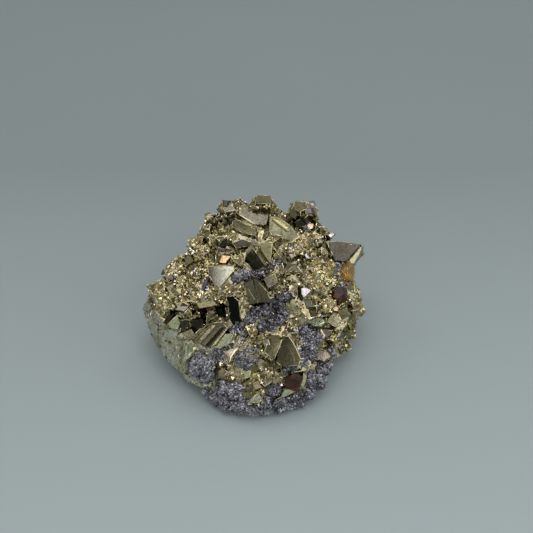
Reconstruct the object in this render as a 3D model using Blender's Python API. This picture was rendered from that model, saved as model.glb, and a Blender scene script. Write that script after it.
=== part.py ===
"""Pyrite specimen: brassy crystals grown as one mass, with dark grains and a few amber crystals on it.

Run it with: blender --background --python part.py

The specimen stands on the XY plane. X runs to its right, Y to its back and Z up. Its display face leans
back and is laid out in face coordinates (u, v), in millimetres: u to the right and v up, on a plane
through AIM that faces the sight point EYE. A place on the face is where the line from EYE through
(u, v) meets the rock.
"""
import math
import random

import bmesh
import bpy
import numpy as np
from mathutils import Vector
from mathutils.bvhtree import BVHTree

MM = 0.001
GAP = 0.3                     # clearance between neighbouring minerals
MERGE = 0.001                 # points closer than this are one
SEED = 11

# The rock: its plan outline as (angle from +X in degrees, radius), and the heights of its rim and top.
OUTLINE = (
    (-180, 41.6), (-160, 40.0), (-140, 37.0), (-122, 36.0), (-105, 37.5), (-90, 37.5), (-70, 38.5),
    (-55, 37.5), (-40, 35.0), (-25, 35.5), (-10, 39.0), (5, 41.5), (20, 41.5), (35, 39.0), (50, 40.0),
    (62, 40.0), (74, 35.0), (90, 37.8), (105, 41.0), (122, 37.0), (140, 31.0), (158, 32.0), (180, 41.6),
)
FOOT = 0.80                   # flat underside, as a share of the outline
WALL = ((0.10, 0.87), (0.40, 0.96), (0.72, 1.00), (1.00, 0.96))   # (share of rim height, share of outline)
TOP_RINGS = (0.86, 0.72, 0.56, 0.40, 0.24, 0.10)
RIM_HEIGHT = 22.0             # rim height at the middle of the rock
RIM_SLOPE = 0.42              # rise of the rim towards the back
CROWN = 12.5                  # how far the top stands above the rim's plane
COLUMNS = 32
LUMP_SIZE = 7.0               # width of the broad lumps of the rock, over pi
LUMP_DEPTH = 1.0
CORE_HEIGHT = 12.0            # height of the point that the lumps swell away from
FADE_HEIGHT = 6.0             # the lumps fade out below this height

# The display face.
AIM = Vector((0.0, 0.0, 18.0))
TILT = math.radians(42.0)     # elevation of the sight line
REACH = 256.0                 # distance of the sight point from the face's plane
RIGHT = Vector((1.0, 0.0, 0.0))
UP = Vector((0.0, math.sin(TILT), math.cos(TILT)))
TOWARD = Vector((0.0, -math.cos(TILT), math.sin(TILT)))
EYE = AIM + TOWARD * REACH + RIGHT * 4.6 + UP * 14.3

# Large crystals of the face: corners of the outermost face as (u, v), how far it stands proud of the
# rock, how it leans (rise per mm to the right and upwards), and how deep the crystal is.
FACES = (
    ("projecting_crystal", ((28.0, 23.9), (32.4, 23.9), (39.6, 23.1), (40.2, 22.1), (34.0, 16.4),
                            (30.9, 17.0), (28.6, 21.5)), 3.5, (-0.10, -0.55), 7.0),
    ("grey_plate", ((-6.1, 34.3), (-4.6, 36.4), (6.2, 36.0), (4.4, 30.4), (0.9, 30.1)), 2.6,
     (-0.15, -0.50), 8.0),
    ("green_plate", ((6.2, 33.6), (5.5, 27.9), (9.5, 23.9), (13.3, 23.3), (17.1, 25.6), (15.9, 27.4),
                     (13.6, 30.1), (9.5, 33.0)), 2.4, (0.18, -0.20), 8.0),
    ("shield_plate", ((-18.1, 13.9), (-15.8, 14.7), (-8.3, 14.5), (-7.7, 13.3), (-12.8, 6.7),
                      (-15.0, 6.8), (-17.3, 10.6)), 1.6, (0.10, 0.05), 7.0),
    ("peach_facet", ((-13.7, 15.8), (-12.4, 18.6), (-9.0, 18.4), (-11.1, 15.5)), 1.4, (-0.20, 0.25), 5.0),
    ("arrow_crystal", ((4.2, 23.9), (6.8, 23.4), (5.5, 15.5), (1.2, 18.9)), 2.2, (0.35, 0.10), 7.0),
    ("black_face", ((-10.9, 2.6), (-8.6, 3.0), (-6.0, 1.0), (-5.4, -5.5), (-8.4, -8.9), (-9.6, -5.5),
                    (-9.8, 0.3)), 2.0, (0.75, 0.10), 7.0),
    ("black_wedge", ((-3.2, 19.8), (-0.6, 19.0), (2.5, 13.2), (0.0, 12.6), (-4.0, 14.6)), 1.5,
     (0.55, 0.30), 7.0),
    ("sage_quad", ((-34.4, -8.7), (-29.5, -4.2), (-27.6, -5.4), (-29.5, -9.8)), 1.8, (0.25, -0.30), 7.0),
    ("striated_crystal", ((-19.0, -7.7), (-12.5, -7.0), (-10.3, -9.5), (-16.9, -17.1), (-18.6, -17.4),
                          (-24.3, -13.3)), 2.2, (0.30, -0.45), 8.0),
    ("sage_slope", ((-15.8, -16.2), (-10.8, -11.5), (-8.3, -11.8), (-9.3, -14.8), (-12.8, -17.1)), 1.8,
     (0.35, -0.25), 6.0),
    ("dark_slab", ((11.2, -12.5), (13.0, -12.7), (14.8, -15.0), (16.2, -17.7), (17.9, -21.6),
                   (16.7, -23.9), (10.2, -23.9), (7.4, -21.5)), 2.6, (0.40, -0.30), 5.0),
    ("olive_slope", ((6.3, -11.6), (10.6, -12.6), (7.0, -21.2), (3.7, -18.6)), 1.6, (-0.45, -0.30), 6.0),
    ("ridge_face", ((1.8, 8.6), (3.8, 9.8), (7.7, 11.5), (9.4, 6.8), (5.9, 3.6)), 1.8, (0.25, 0.35), 6.0),
    ("sage_oval", ((21.2, -7.4), (23.6, -5.5), (26.5, -5.7), (27.2, -7.1), (25.6, -8.9), (22.4, -8.7)),
     1.8, (-0.15, -0.20), 5.0),
    ("beige_right", ((28.0, -6.5), (30.0, -3.9), (31.5, -4.5), (33.2, -7.4), (31.5, -9.1), (29.4, -8.0)),
     1.8, (-0.35, -0.15), 5.0),
    ("beige_low", ((23.6, -17.4), (27.7, -17.4), (29.4, -19.2), (27.7, -20.9), (24.1, -19.7)), 1.6,
     (-0.25, -0.45), 5.0),
    ("white_facet", ((17.8, 6.0), (19.1, 6.4), (21.9, 5.3), (18.9, 2.1), (18.0, 3.6)), 1.6,
     (-0.20, -0.10), 4.0),
    ("upper_slope", ((-8.3, 33.4), (0.8, 29.0), (0.4, 26.2), (-4.5, 27.2), (-8.6, 29.2)), 1.0,
     (0.10, -0.90), 7.0),
    ("brown_band", ((-8.4, 23.3), (-4.9, 24.7), (-0.5, 23.3), (-2.8, 22.1), (-7.0, 21.3)), 1.6,
     (0.10, -0.60), 5.0),
    ("top_block", ((0.1, 40.9), (1.2, 41.6), (5.8, 41.6), (6.6, 40.2), (5.6, 38.4), (0.4, 38.6)), 2.8,
     (0.0, -0.75), 8.0),
    ("lump_cap", ((14.5, 37.0), (15.7, 39.2), (19.6, 39.2), (20.5, 36.6), (17.6, 35.4)), 3.4,
     (0.10, -0.60), 8.0),
    ("lump_side", ((19.6, 38.9), (22.3, 38.6), (24.6, 36.0), (24.2, 33.6), (20.6, 34.2)), 2.6,
     (-0.45, -0.40), 8.0),
    ("yellow_facet", ((19.9, 30.6), (20.8, 31.0), (22.9, 30.9), (22.4, 28.9), (21.2, 28.5)), 1.8,
     (-0.10, -0.20), 4.0),
    ("edge_glint", ((28.1, 26.3), (29.4, 27.3), (30.8, 26.8), (29.4, 25.3)), 2.0, (-0.30, -0.10), 4.0),
    ("foot_triangle", ((-2.0, -38.0), (1.2, -34.0), (2.9, -36.8), (1.6, -38.0)), 3.2, (0.0, -0.35), 6.0),
    ("foot_facet", ((-4.9, -27.5), (-1.4, -25.4), (-1.7, -28.0), (-4.7, -29.2)), 1.6, (0.10, -0.40), 5.0),
    ("pale_corner", ((-26.2, -15.0), (-23.4, -15.4), (-22.8, -17.5), (-25.2, -19.3), (-26.6, -21.6)),
     1.4, (-0.40, -0.25), 5.0),
    ("beige_wedge", ((-12.2, -20.2), (-5.8, -16.9), (-10.2, -24.4)), 1.6, (0.10, -0.30), 5.0),
    ("left_block", ((-12.9, 38.7), (-9.8, 39.5), (-7.5, 36.0), (-11.3, 35.2)), 2.4, (0.10, -0.60), 7.0),
    ("mid_pyramid", ((12.5, 12.7), (15.9, 15.1), (18.3, 12.1)), 1.8, (0.0, -0.50), 5.0),
)
FLARE = 0.42                  # how much a crystal widens below its face, per mm of depth

# Pyrite rim around the red crystal at the front: the ridge of a bar with a few bends, as (u, v).
RIM_RIDGE = ((15.0, -26.0), (19.6, -25.6), (18.4, -31.6), (13.6, -34.2), (9.0, -36.4))
RIM_WIDTH = 1.3               # half width of the bar at the rock
RIM_PROUD = 2.6

# Dark granular minerals. The crust runs round the foot of the rock, as (angle, height, radius of a lump).
FRONT_CRUST = (
    (-118, 4.4, 3.0), (-111, 3.6, 3.8), (-104, 3.8, 4.2), (-97, 3.4, 4.4), (-90, 3.8, 4.2), (-82, 3.4, 4.4),
    (-74, 3.8, 4.2), (-66, 3.4, 4.4), (-58, 4.4, 4.2), (-51, 6.6, 4.0), (-44, 9.6, 3.6), (-37, 12.4, 3.0),
    (-109, 8.2, 3.0), (-101, 8.6, 3.4), (-79, 8.2, 3.0), (-56, 9.8, 3.2),
)
# The others lie on the display face, in rows of lumps as (u, v, radius).
LEFT_KNOB = (
    (-19.4, -24.2, 5.7), (-16.4, -20.4, 2.6), (-14.6, -18.2, 2.2), (-11.4, -19.2, 2.6), (-8.2, -19.4, 2.2),
    (-5.6, -21.2, 2.9), (-2.8, -23.0, 2.4),
)
UPPER_SEAM = (
    (-7.0, 9.6, 2.2), (-4.0, 10.6, 2.8), (-0.8, 10.6, 2.2), (1.8, 11.6, 2.5), (4.6, 11.9, 1.9),
    (7.0, 13.4, 2.2), (9.6, 14.9, 1.8),
)
MIDDLE_SEAM = (
    (-8.2, -10.4, 1.9), (-5.4, -8.2, 2.3), (-2.0, -5.6, 2.9), (1.2, -3.4, 2.7), (4.4, -2.8, 3.0),
    (7.4, -0.6, 2.5), (9.4, 1.2, 2.0), (12.2, 2.4, 2.4), (3.2, -8.4, 2.2), (6.2, -7.8, 2.8),
    (9.6, -6.6, 2.5), (11.2, -3.6, 2.0), (9.4, -1.4, 1.8),
)
RIGHT_SEAM = (
    (18.2, -10.4, 2.2), (21.0, -12.0, 2.9), (24.2, -13.0, 2.3), (22.0, -15.8, 2.2), (18.4, -18.2, 2.3),
    (21.6, -19.4, 2.8),
)

# Amber minerals, as (u, v, half height, half width, turn in degrees, how far proud).
HONEY_CRYSTAL = (36.0, 12.4, 3.6, 2.5, 8.0, 2.6)
RED_RIGHT = (32.8, 3.0, 3.4, 2.7, 35.0, 0.8)
RED_FRONT = (15.4, -29.0, 3.4, 2.6, 38.0, 1.0)

# Smaller pyrite crystals spread over the rock: (how many, smallest, largest, share sunk into the rock).
TOP_CRYSTALS = (53, 3.4, 6.8, 0.55)
WALL_CRYSTALS = (21, 3.2, 6.2, 0.68)
PLAIN_SHARE = 0.70            # share of them that keep their tips
FACE_CLEARANCE = 0.62         # how far they stay off a large face, as a share of their size
CRUST_ARC = (-124.0, -33.0)            # where the crust takes the place of crystals
NOTCH = (11.0, 37.0, 4.5)              # the gap between the two top lumps, as (u, v, radius)
BARE_WALL = (-178.0, -116.0, 33.0)     # from one angle to the other, outside this radius
PITS = ((-150, 0.55, 1.5), (-158, 0.35, 1.2), (-166, 0.60, 1.3), (-143, 0.40, 1.3), (-136, 0.60, 1.1),
        (-172, 0.42, 1.2), (-129, 0.38, 1.2))   # (angle, share of rim height, radius) on the left wall


# ---------------------------------------------------------------- scene and mesh helpers

def clear_scene():
    """Take away whatever objects the file opened with."""
    for old in list(bpy.data.objects):
        bpy.data.objects.remove(old, do_unlink=True)


def mesh_object(name, verts, faces):
    """A mesh object from points in millimetres."""
    mesh = bpy.data.meshes.new(name)
    mesh.from_pydata([Vector(point) * MM for point in verts], [], faces)
    mesh.validate()
    piece = bpy.data.objects.new(name, mesh)
    bpy.context.scene.collection.objects.link(piece)
    return piece


def hull_object(name, points):
    """The convex crystal that has these points, with its flat faces whole."""
    bm = bmesh.new()
    for point in points:
        bm.verts.new(Vector(point) * MM)
    result = bmesh.ops.convex_hull(bm, input=bm.verts)
    inner = {item for item in result["geom_interior"] if isinstance(item, bmesh.types.BMVert)}
    bmesh.ops.delete(bm, geom=list(inner), context="VERTS")
    bmesh.ops.dissolve_limit(bm, angle_limit=math.radians(0.5), verts=bm.verts, edges=bm.edges)
    bmesh.ops.recalc_face_normals(bm, faces=bm.faces)
    mesh = bpy.data.meshes.new(name)
    bm.to_mesh(mesh)
    bm.free()
    piece = bpy.data.objects.new(name, mesh)
    bpy.context.scene.collection.objects.link(piece)
    return piece


def combine(body, pieces, operation):
    """Join pieces to a body, or cut them from it, in one Boolean, and use the pieces up."""
    group = bpy.data.collections.new("operands")
    bpy.context.scene.collection.children.link(group)
    for piece in pieces:
        group.objects.link(piece)
    step = body.modifiers.new("combine", "BOOLEAN")
    step.operation = operation
    step.solver = "EXACT"
    step.operand_type = "COLLECTION"
    step.collection = group
    graph = bpy.context.evaluated_depsgraph_get()
    mesh = bpy.data.meshes.new_from_object(body.evaluated_get(graph))
    body.modifiers.clear()
    body.data = mesh
    for piece in pieces:
        bpy.data.objects.remove(piece, do_unlink=True)
    bpy.data.collections.remove(group)


def tidy_body(body):
    """Merge slivers and keep the largest connected body."""
    bm = bmesh.new()
    bm.from_mesh(body.data)
    bmesh.ops.remove_doubles(bm, verts=bm.verts, dist=MERGE * MM)
    bmesh.ops.triangulate(bm, faces=bm.faces)
    islands = []
    unseen = set(bm.verts)
    while unseen:
        front = [unseen.pop()]
        island = list(front)
        while front:
            vert = front.pop()
            for edge in vert.link_edges:
                other = edge.other_vert(vert)
                if other in unseen:
                    unseen.discard(other)
                    front.append(other)
                    island.append(other)
        islands.append(island)
    islands.sort(key=len)
    for island in islands[:-1]:
        bmesh.ops.delete(bm, geom=island, context="VERTS")
    bmesh.ops.recalc_face_normals(bm, faces=bm.faces)
    bm.to_mesh(body.data)
    bm.free()


# ---------------------------------------------------------------- the rock

def outline_radius(angle):
    """Plan radius of the rock at an angle in degrees."""
    angles = [row[0] for row in OUTLINE]
    radii = [row[1] for row in OUTLINE]
    return float(np.interp((angle + 180.0) % 360.0 - 180.0, angles, radii))


def roughen(point):
    """Push a point of the rock in or out by crossed waves, less near the underside."""
    x, y, z = point / LUMP_SIZE
    broad = math.sin(1.7 * x + 0.9 * y + 0.4) * math.cos(1.3 * y - 1.1 * z + 2.0)
    fine = math.sin(3.3 * x - 2.1 * z + 1.2) * math.sin(2.9 * y + 1.9 * x + 0.7)
    outward = (point - Vector((0.0, 0.0, CORE_HEIGHT))).normalized()
    fade = min(point.z / FADE_HEIGHT, 1.0)
    return point + outward * (broad + 0.7 * fine) * LUMP_DEPTH * fade


def rock_rings():
    """Rings of points from the flat foot, up the wall, and over the leaning top."""
    rings = []
    angles = [360.0 * column / COLUMNS - 180.0 for column in range(COLUMNS)]
    steps = [(0.0, FOOT)] + list(WALL)
    for height_share, radius_share in steps:
        ring = []
        for angle in angles:
            radius = outline_radius(angle)
            turn = math.radians(angle)
            rim = RIM_HEIGHT + RIM_SLOPE * radius * math.sin(turn)
            flat = Vector((math.cos(turn), math.sin(turn), 0.0)) * radius * radius_share
            ring.append(roughen(flat + Vector((0.0, 0.0, rim * height_share))))
        rings.append(ring)
    for radius_share in TOP_RINGS:
        ring = []
        for angle in angles:
            radius = outline_radius(angle) * radius_share
            turn = math.radians(angle)
            flat = Vector((math.cos(turn), math.sin(turn), 0.0)) * radius
            height = RIM_HEIGHT + RIM_SLOPE * flat.y + CROWN * (1.0 - radius_share ** 2.2)
            ring.append(roughen(flat + Vector((0.0, 0.0, height))))
        rings.append(ring)
    return rings


def make_rock():
    """The mass that all crystals grow from: a ring loft closed by a flat foot and a top point."""
    rings = rock_rings()
    verts = [point for ring in rings for point in ring]
    crown = len(verts)
    verts.append(roughen(Vector((0.0, 0.0, RIM_HEIGHT + CROWN))))
    faces = [tuple(reversed(range(COLUMNS)))]
    for row in range(len(rings) - 1):
        for column in range(COLUMNS):
            side = (column + 1) % COLUMNS
            low = row * COLUMNS
            high = low + COLUMNS
            faces.append((low + column, low + side, high + side))
            faces.append((low + column, high + side, high + column))
    last = (len(rings) - 1) * COLUMNS
    for column in range(COLUMNS):
        faces.append((last + column, last + (column + 1) % COLUMNS, crown))
    return mesh_object("pyrite_cluster", verts, faces)


# ---------------------------------------------------------------- places on the display face

class DisplayFace:
    """Finds where sight lines from EYE meet the rock."""

    def __init__(self, rock):
        points = [vertex.co / MM for vertex in rock.data.vertices]
        self.tree = BVHTree.FromPolygons(points, [tuple(face.vertices) for face in rock.data.polygons])

    def ray(self, u, v):
        """Unit sight line through (u, v)."""
        return (AIM + RIGHT * u + UP * v - EYE).normalized()

    def height(self, u, v):
        """Height of the rock above the plane through AIM, along the sight line through (u, v)."""
        hit = self.tree.ray_cast(EYE, self.ray(u, v))[0]
        if hit is None:
            hit = self.tree.find_nearest(AIM + RIGHT * u + UP * v)[0]
        return (hit - AIM).dot(TOWARD)

    def place(self, point):
        """Face coordinates of a point in space."""
        seen = point - EYE
        onto = EYE + seen * (REACH / -seen.dot(TOWARD)) - AIM
        return onto.dot(RIGHT), onto.dot(UP)

    def point(self, u, v, height):
        """The point seen at (u, v) that stands this high above the plane through AIM."""
        start = AIM + RIGHT * u + UP * v
        return EYE + (start - EYE) * ((REACH - height) / REACH)


# ---------------------------------------------------------------- crystals

def face_crystal(face, row):
    """A flat-faced crystal: its seen face, and a wider copy of it sunk into the rock."""
    name, corners, proud, lean, depth = row
    u_mid = sum(corner[0] for corner in corners) / len(corners)
    v_mid = sum(corner[1] for corner in corners) / len(corners)
    level = face.height(u_mid, v_mid) + proud
    top = []
    for u, v in corners:
        rise = lean[0] * (u - u_mid) + lean[1] * (v - v_mid)
        top.append(face.point(u, v, level + rise))
    centre = sum(top, Vector()) / len(top)
    normal = (top[1] - top[0]).cross(top[2] - top[0]).normalized()
    if normal.dot(TOWARD) < 0.0:
        normal.negate()
    size = sum((point - centre).length for point in top) / len(top)
    spread = 1.0 + FLARE * depth / size
    base = [centre + (point - centre) * spread - normal * depth for point in top]
    return hull_object(name, top + base)


def octahedron_points(centre, size, cut, turn, stretch):
    """Corners of an octahedron with its six tips cut off by the share `cut`."""
    far = 1.0 - cut
    points = []
    for axis in range(3):
        for sign in (-1.0, 1.0):
            for other in (1, 2):
                for side in (-1.0, 1.0):
                    local = [0.0, 0.0, 0.0]
                    local[axis] = sign * far
                    local[(axis + other) % 3] = side * cut
                    shaped = Vector((local[0] * stretch[0], local[1] * stretch[1], local[2] * stretch[2]))
                    points.append(centre + turn @ shaped * size)
    return points


def random_turn(rng):
    """A random rotation."""
    axis = Vector((rng.gauss(0, 1), rng.gauss(0, 1), rng.gauss(0, 1))).normalized()
    from_axis = axis.to_track_quat("Z", "Y")
    return from_axis.to_matrix()


def outline_gap(u, v, corners):
    """Distance from (u, v) to an outline, or zero inside it."""
    spot = Vector((u, v))
    inside = False
    gap = math.inf
    for start, end in zip(corners, corners[1:] + corners[:1]):
        edge = Vector(end) - Vector(start)
        share = min(max((spot - Vector(start)).dot(edge) / edge.length_squared, 0.0), 1.0)
        gap = min(gap, (Vector(start) + edge * share - spot).length)
        if (start[1] > v) != (end[1] > v) and u < start[0] + (v - start[1]) * edge.x / edge.y:
            inside = not inside
    return 0.0 if inside else gap


def keep_clear(face, spot, size):
    """Whether a crystal at this spot would hide a large face, a dark row, an amber or the bare wall."""
    u, v = face.place(spot)
    if any(outline_gap(u, v, row[1]) < FACE_CLEARANCE * size for row in FACES):
        return True
    for row in LEFT_KNOB + UPPER_SEAM + MIDDLE_SEAM + RIGHT_SEAM:
        if math.hypot(u - row[0], v - row[1]) < row[2] + 0.5 * size:
            return True
    for row in (HONEY_CRYSTAL, RED_RIGHT, RED_FRONT, NOTCH):
        if math.hypot(u - row[0], v - row[1]) < row[2] + 0.5 * size:
            return True
    angle = math.degrees(math.atan2(spot.y, spot.x))
    in_bare_wall = BARE_WALL[0] < angle < BARE_WALL[1] and math.hypot(spot.x, spot.y) > BARE_WALL[2]
    in_crust = CRUST_ARC[0] < angle < CRUST_ARC[1] and spot.z < 12.0 and spot.y < -20.0
    return in_bare_wall or in_crust


def spread_crystals(rock, face, rng, amount, zone):
    """Octahedra over one zone of the rock, kept apart by their own size."""
    count, smallest, largest, sunk = amount
    mesh = rock.data
    spots = []
    sides = [side for side in mesh.polygons if zone(side)]
    areas = [side.area for side in sides]
    crystals = []
    tries = 0
    while len(crystals) < count and tries < count * 60:
        tries += 1
        side = rng.choices(sides, areas)[0]
        corners = [mesh.vertices[index].co / MM for index in side.vertices]
        a, b = sorted((rng.random(), rng.random()))
        spot = corners[0] * a + corners[1] * (b - a) + corners[2] * (1.0 - b)
        size = smallest + (largest - smallest) * rng.random() ** 1.6
        if any((spot - other).length < 0.50 * (size + reach) for other, reach in spots):
            continue
        if keep_clear(face, spot, size):
            continue
        spots.append((spot, size))
        stretch = (1.0, rng.uniform(0.8, 1.0), rng.uniform(0.75, 1.0))
        centre = spot + side.normal * size * (0.5 - sunk)
        cut = 0.0 if rng.random() < PLAIN_SHARE else rng.uniform(0.12, 0.34)
        points = octahedron_points(centre, size, cut, random_turn(rng), stretch)
        crystals.append(hull_object("crystal", [lift_clear(point) for point in points]))
    return crystals


def lift_clear(point):
    """Keep a crystal's corners off the plane that the specimen stands on."""
    return Vector((point.x, point.y, max(point.z, 1.2)))


def rim_bars(face):
    """The raised pyrite rim: one roof-shaped bar for each stretch of its ridge."""
    bars = []
    for (u_a, v_a), (u_b, v_b) in zip(RIM_RIDGE, RIM_RIDGE[1:]):
        along = Vector((u_b - u_a, v_b - v_a)).normalized()
        across = Vector((-along.y, along.x)) * RIM_WIDTH
        points = []
        for u, v in ((u_a - along.x, v_a - along.y), (u_b + along.x, v_b + along.y)):
            level = face.height(u, v)
            points.append(face.point(u, v, level + RIM_PROUD))
            for side in (-1.0, 1.0):
                foot_u = u + across.x * side
                foot_v = v + across.y * side
                points.append(face.point(foot_u, foot_v, level + 0.3))
                points.append(face.point(foot_u, foot_v, level - 2.5))
        bars.append(hull_object("rim_bar", [lift_clear(point) for point in points]))
    return bars


def wall_pits(face):
    """Small pits in the bare wall on the left."""
    pits = []
    for index, (angle, share, radius) in enumerate(PITS):
        turn = math.radians(angle)
        outward = Vector((math.cos(turn), math.sin(turn), 0.0))
        height = share * (RIM_HEIGHT + RIM_SLOPE * outline_radius(angle) * math.sin(turn))
        wall = face.tree.ray_cast(outward * 90.0 + Vector((0.0, 0.0, height)), -outward)[0]
        pits.append(grain_lump(wall + outward * radius * 0.2, radius, SEED * 200 + index, -5.0))
    return pits


def amber_crystal(face, name, shape, swell=0.0):
    """A blunt double-ended crystal that leans against the rock; swell makes its pocket."""
    u, v, half_height, half_width, turn, proud = shape
    level = face.height(u, v) + proud
    lean = math.radians(turn)
    long_way = RIGHT * math.sin(lean) + UP * math.cos(lean)
    wide_way = RIGHT * math.cos(lean) - UP * math.sin(lean)
    centre = face.point(u, v, level)
    tall = half_height + swell
    wide = half_width + swell
    points = []
    for share, girth in ((-1.0, 0.42), (-0.45, 1.0), (0.40, 0.95), (1.0, 0.38)):
        for side in range(6):
            angle = math.radians(60.0 * side + 14.0)
            across = wide_way * math.cos(angle) + TOWARD * math.sin(angle)
            points.append(centre + long_way * share * tall + across * girth * wide)
    return hull_object(name, points)


# ---------------------------------------------------------------- dark grains

def grain_lump(centre, radius, seed, floor):
    """A low round lump with an uneven skin, cut off at the floor where it has one."""
    bm = bmesh.new()
    bmesh.ops.create_icosphere(bm, subdivisions=1 if radius < 5.0 else 2, radius=1.0)
    verts = []
    shake = random.Random(seed)
    for vert in bm.verts:
        reach = radius * shake.uniform(0.86, 1.10)
        point = centre + vert.co.normalized() * reach
        verts.append(Vector((point.x, point.y, max(point.z, floor))))
    faces = [tuple(vert.index for vert in face.verts) for face in bm.faces]
    bm.free()
    return mesh_object("lump", verts, faces)


def grain_row(face, row, swell, floor):
    """The lumps of one row on the display face, each sunk a little way into the rock."""
    lumps = []
    for index, (u, v, radius) in enumerate(row):
        centre = face.point(u, v, face.height(u, v) - radius * 0.25)
        lumps.append(grain_lump(centre, radius + swell, SEED * 100 + index, floor))
    return lumps


def crust_row(face, row, swell, floor):
    """The lumps of the crust round the foot, each centred a little way inside the wall."""
    lumps = []
    for index, (angle, height, radius) in enumerate(row):
        turn = math.radians(angle)
        outward = Vector((math.cos(turn), math.sin(turn), 0.0))
        start = outward * 90.0 + Vector((0.0, 0.0, height))
        wall = face.tree.ray_cast(start, -outward)[0]
        centre = wall - outward * radius * 0.15
        lumps.append(grain_lump(centre, radius + swell, SEED * 100 + index, floor))
    return lumps


def make_grain_node(name, lumps):
    """One dark mineral body: a row of lumps grown together."""
    body = lumps[0]
    combine(body, lumps[1:], "UNION")
    body.name = name
    tidy_body(body)
    return body


# ---------------------------------------------------------------- materials

def make_material(name, colour, roughness, metallic):
    """A plain Principled material."""
    material = bpy.data.materials.new(name)
    material.use_nodes = True
    shader = material.node_tree.nodes["Principled BSDF"]
    shader.inputs["Base Color"].default_value = (*colour, 1.0)
    shader.inputs["Roughness"].default_value = roughness
    shader.inputs["Metallic"].default_value = metallic
    return material


def main():
    """Build the specimen."""
    clear_scene()
    rng = random.Random(SEED)
    rock = make_rock()
    face = DisplayFace(rock)

    pyrite = make_material("pyrite", (0.42, 0.37, 0.20), 0.28, 1.0)
    dark = make_material("dark_grains", (0.09, 0.09, 0.11), 0.40, 0.4)
    honey = make_material("honey", (0.55, 0.24, 0.05), 0.25, 0.0)
    red = make_material("red_brown", (0.10, 0.04, 0.02), 0.20, 0.0)

    grains = (
        ("dark_crust_front", crust_row, FRONT_CRUST), ("dark_knob_left", grain_row, LEFT_KNOB),
        ("dark_seam_upper", grain_row, UPPER_SEAM), ("dark_seam_middle", grain_row, MIDDLE_SEAM),
        ("dark_seam_right", grain_row, RIGHT_SEAM),
    )
    ambers = (
        ("honey_crystal", HONEY_CRYSTAL, honey), ("red_crystal_right", RED_RIGHT, red),
        ("red_crystal_front", RED_FRONT, red),
    )
    pockets = wall_pits(face)
    for name, lay_row, row in grains:
        pockets.extend(lay_row(face, row, GAP, -5.0))
    for name, shape, material in ambers:
        pockets.append(amber_crystal(face, "pocket", shape, GAP))

    crystals = [face_crystal(face, row) for row in FACES] + rim_bars(face)
    crystals += spread_crystals(rock, face, rng, TOP_CRYSTALS, lambda side: side.normal.z > 0.45)
    crystals += spread_crystals(rock, face, rng, WALL_CRYSTALS, lambda side: -0.6 < side.normal.z <= 0.45)
    combine(rock, crystals, "UNION")
    combine(rock, pockets, "DIFFERENCE")
    tidy_body(rock)
    rock.data.materials.append(pyrite)

    for name, lay_row, row in grains:
        make_grain_node(name, lay_row(face, row, 0.0, 0.0)).data.materials.append(dark)
    for name, shape, material in ambers:
        amber_crystal(face, name, shape).data.materials.append(material)


main()
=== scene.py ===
"""Pyrite specimen, dressed: mirror-bright faces, a crust of tiny crystals, dark grains, amber crystals.

The frame holds the rock and its minerals as plain solids. Everything here is laid on them, in millimetres:
u runs to the right and v up on the display face, a plane through AIM that faces the sight point EYE.
"""
import itertools
import math

import bpy
import numpy as np
from mathutils import Matrix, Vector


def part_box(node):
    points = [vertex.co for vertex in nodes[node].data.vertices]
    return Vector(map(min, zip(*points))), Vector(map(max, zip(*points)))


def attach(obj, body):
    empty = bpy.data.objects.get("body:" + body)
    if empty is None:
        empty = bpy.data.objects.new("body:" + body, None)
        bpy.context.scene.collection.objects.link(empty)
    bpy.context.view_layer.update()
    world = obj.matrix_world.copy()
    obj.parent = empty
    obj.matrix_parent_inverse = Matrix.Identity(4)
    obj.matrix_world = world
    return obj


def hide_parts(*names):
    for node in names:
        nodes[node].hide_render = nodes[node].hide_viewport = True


MM = 0.001
SEED = 23

# ---------------------------------------------------------------- the display face

TILT = math.radians(42.0)
REACH = 256.0
AIM = np.array((0.0, 0.0, 18.0))
RIGHT = np.array((1.0, 0.0, 0.0))
UP = np.array((0.0, math.sin(TILT), math.cos(TILT)))
TOWARD = np.array((0.0, -math.cos(TILT), math.sin(TILT)))
EYE_RIGHT = 4.6
EYE_UP = 14.3
EYE = AIM + TOWARD * REACH + RIGHT * EYE_RIGHT + UP * EYE_UP

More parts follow.
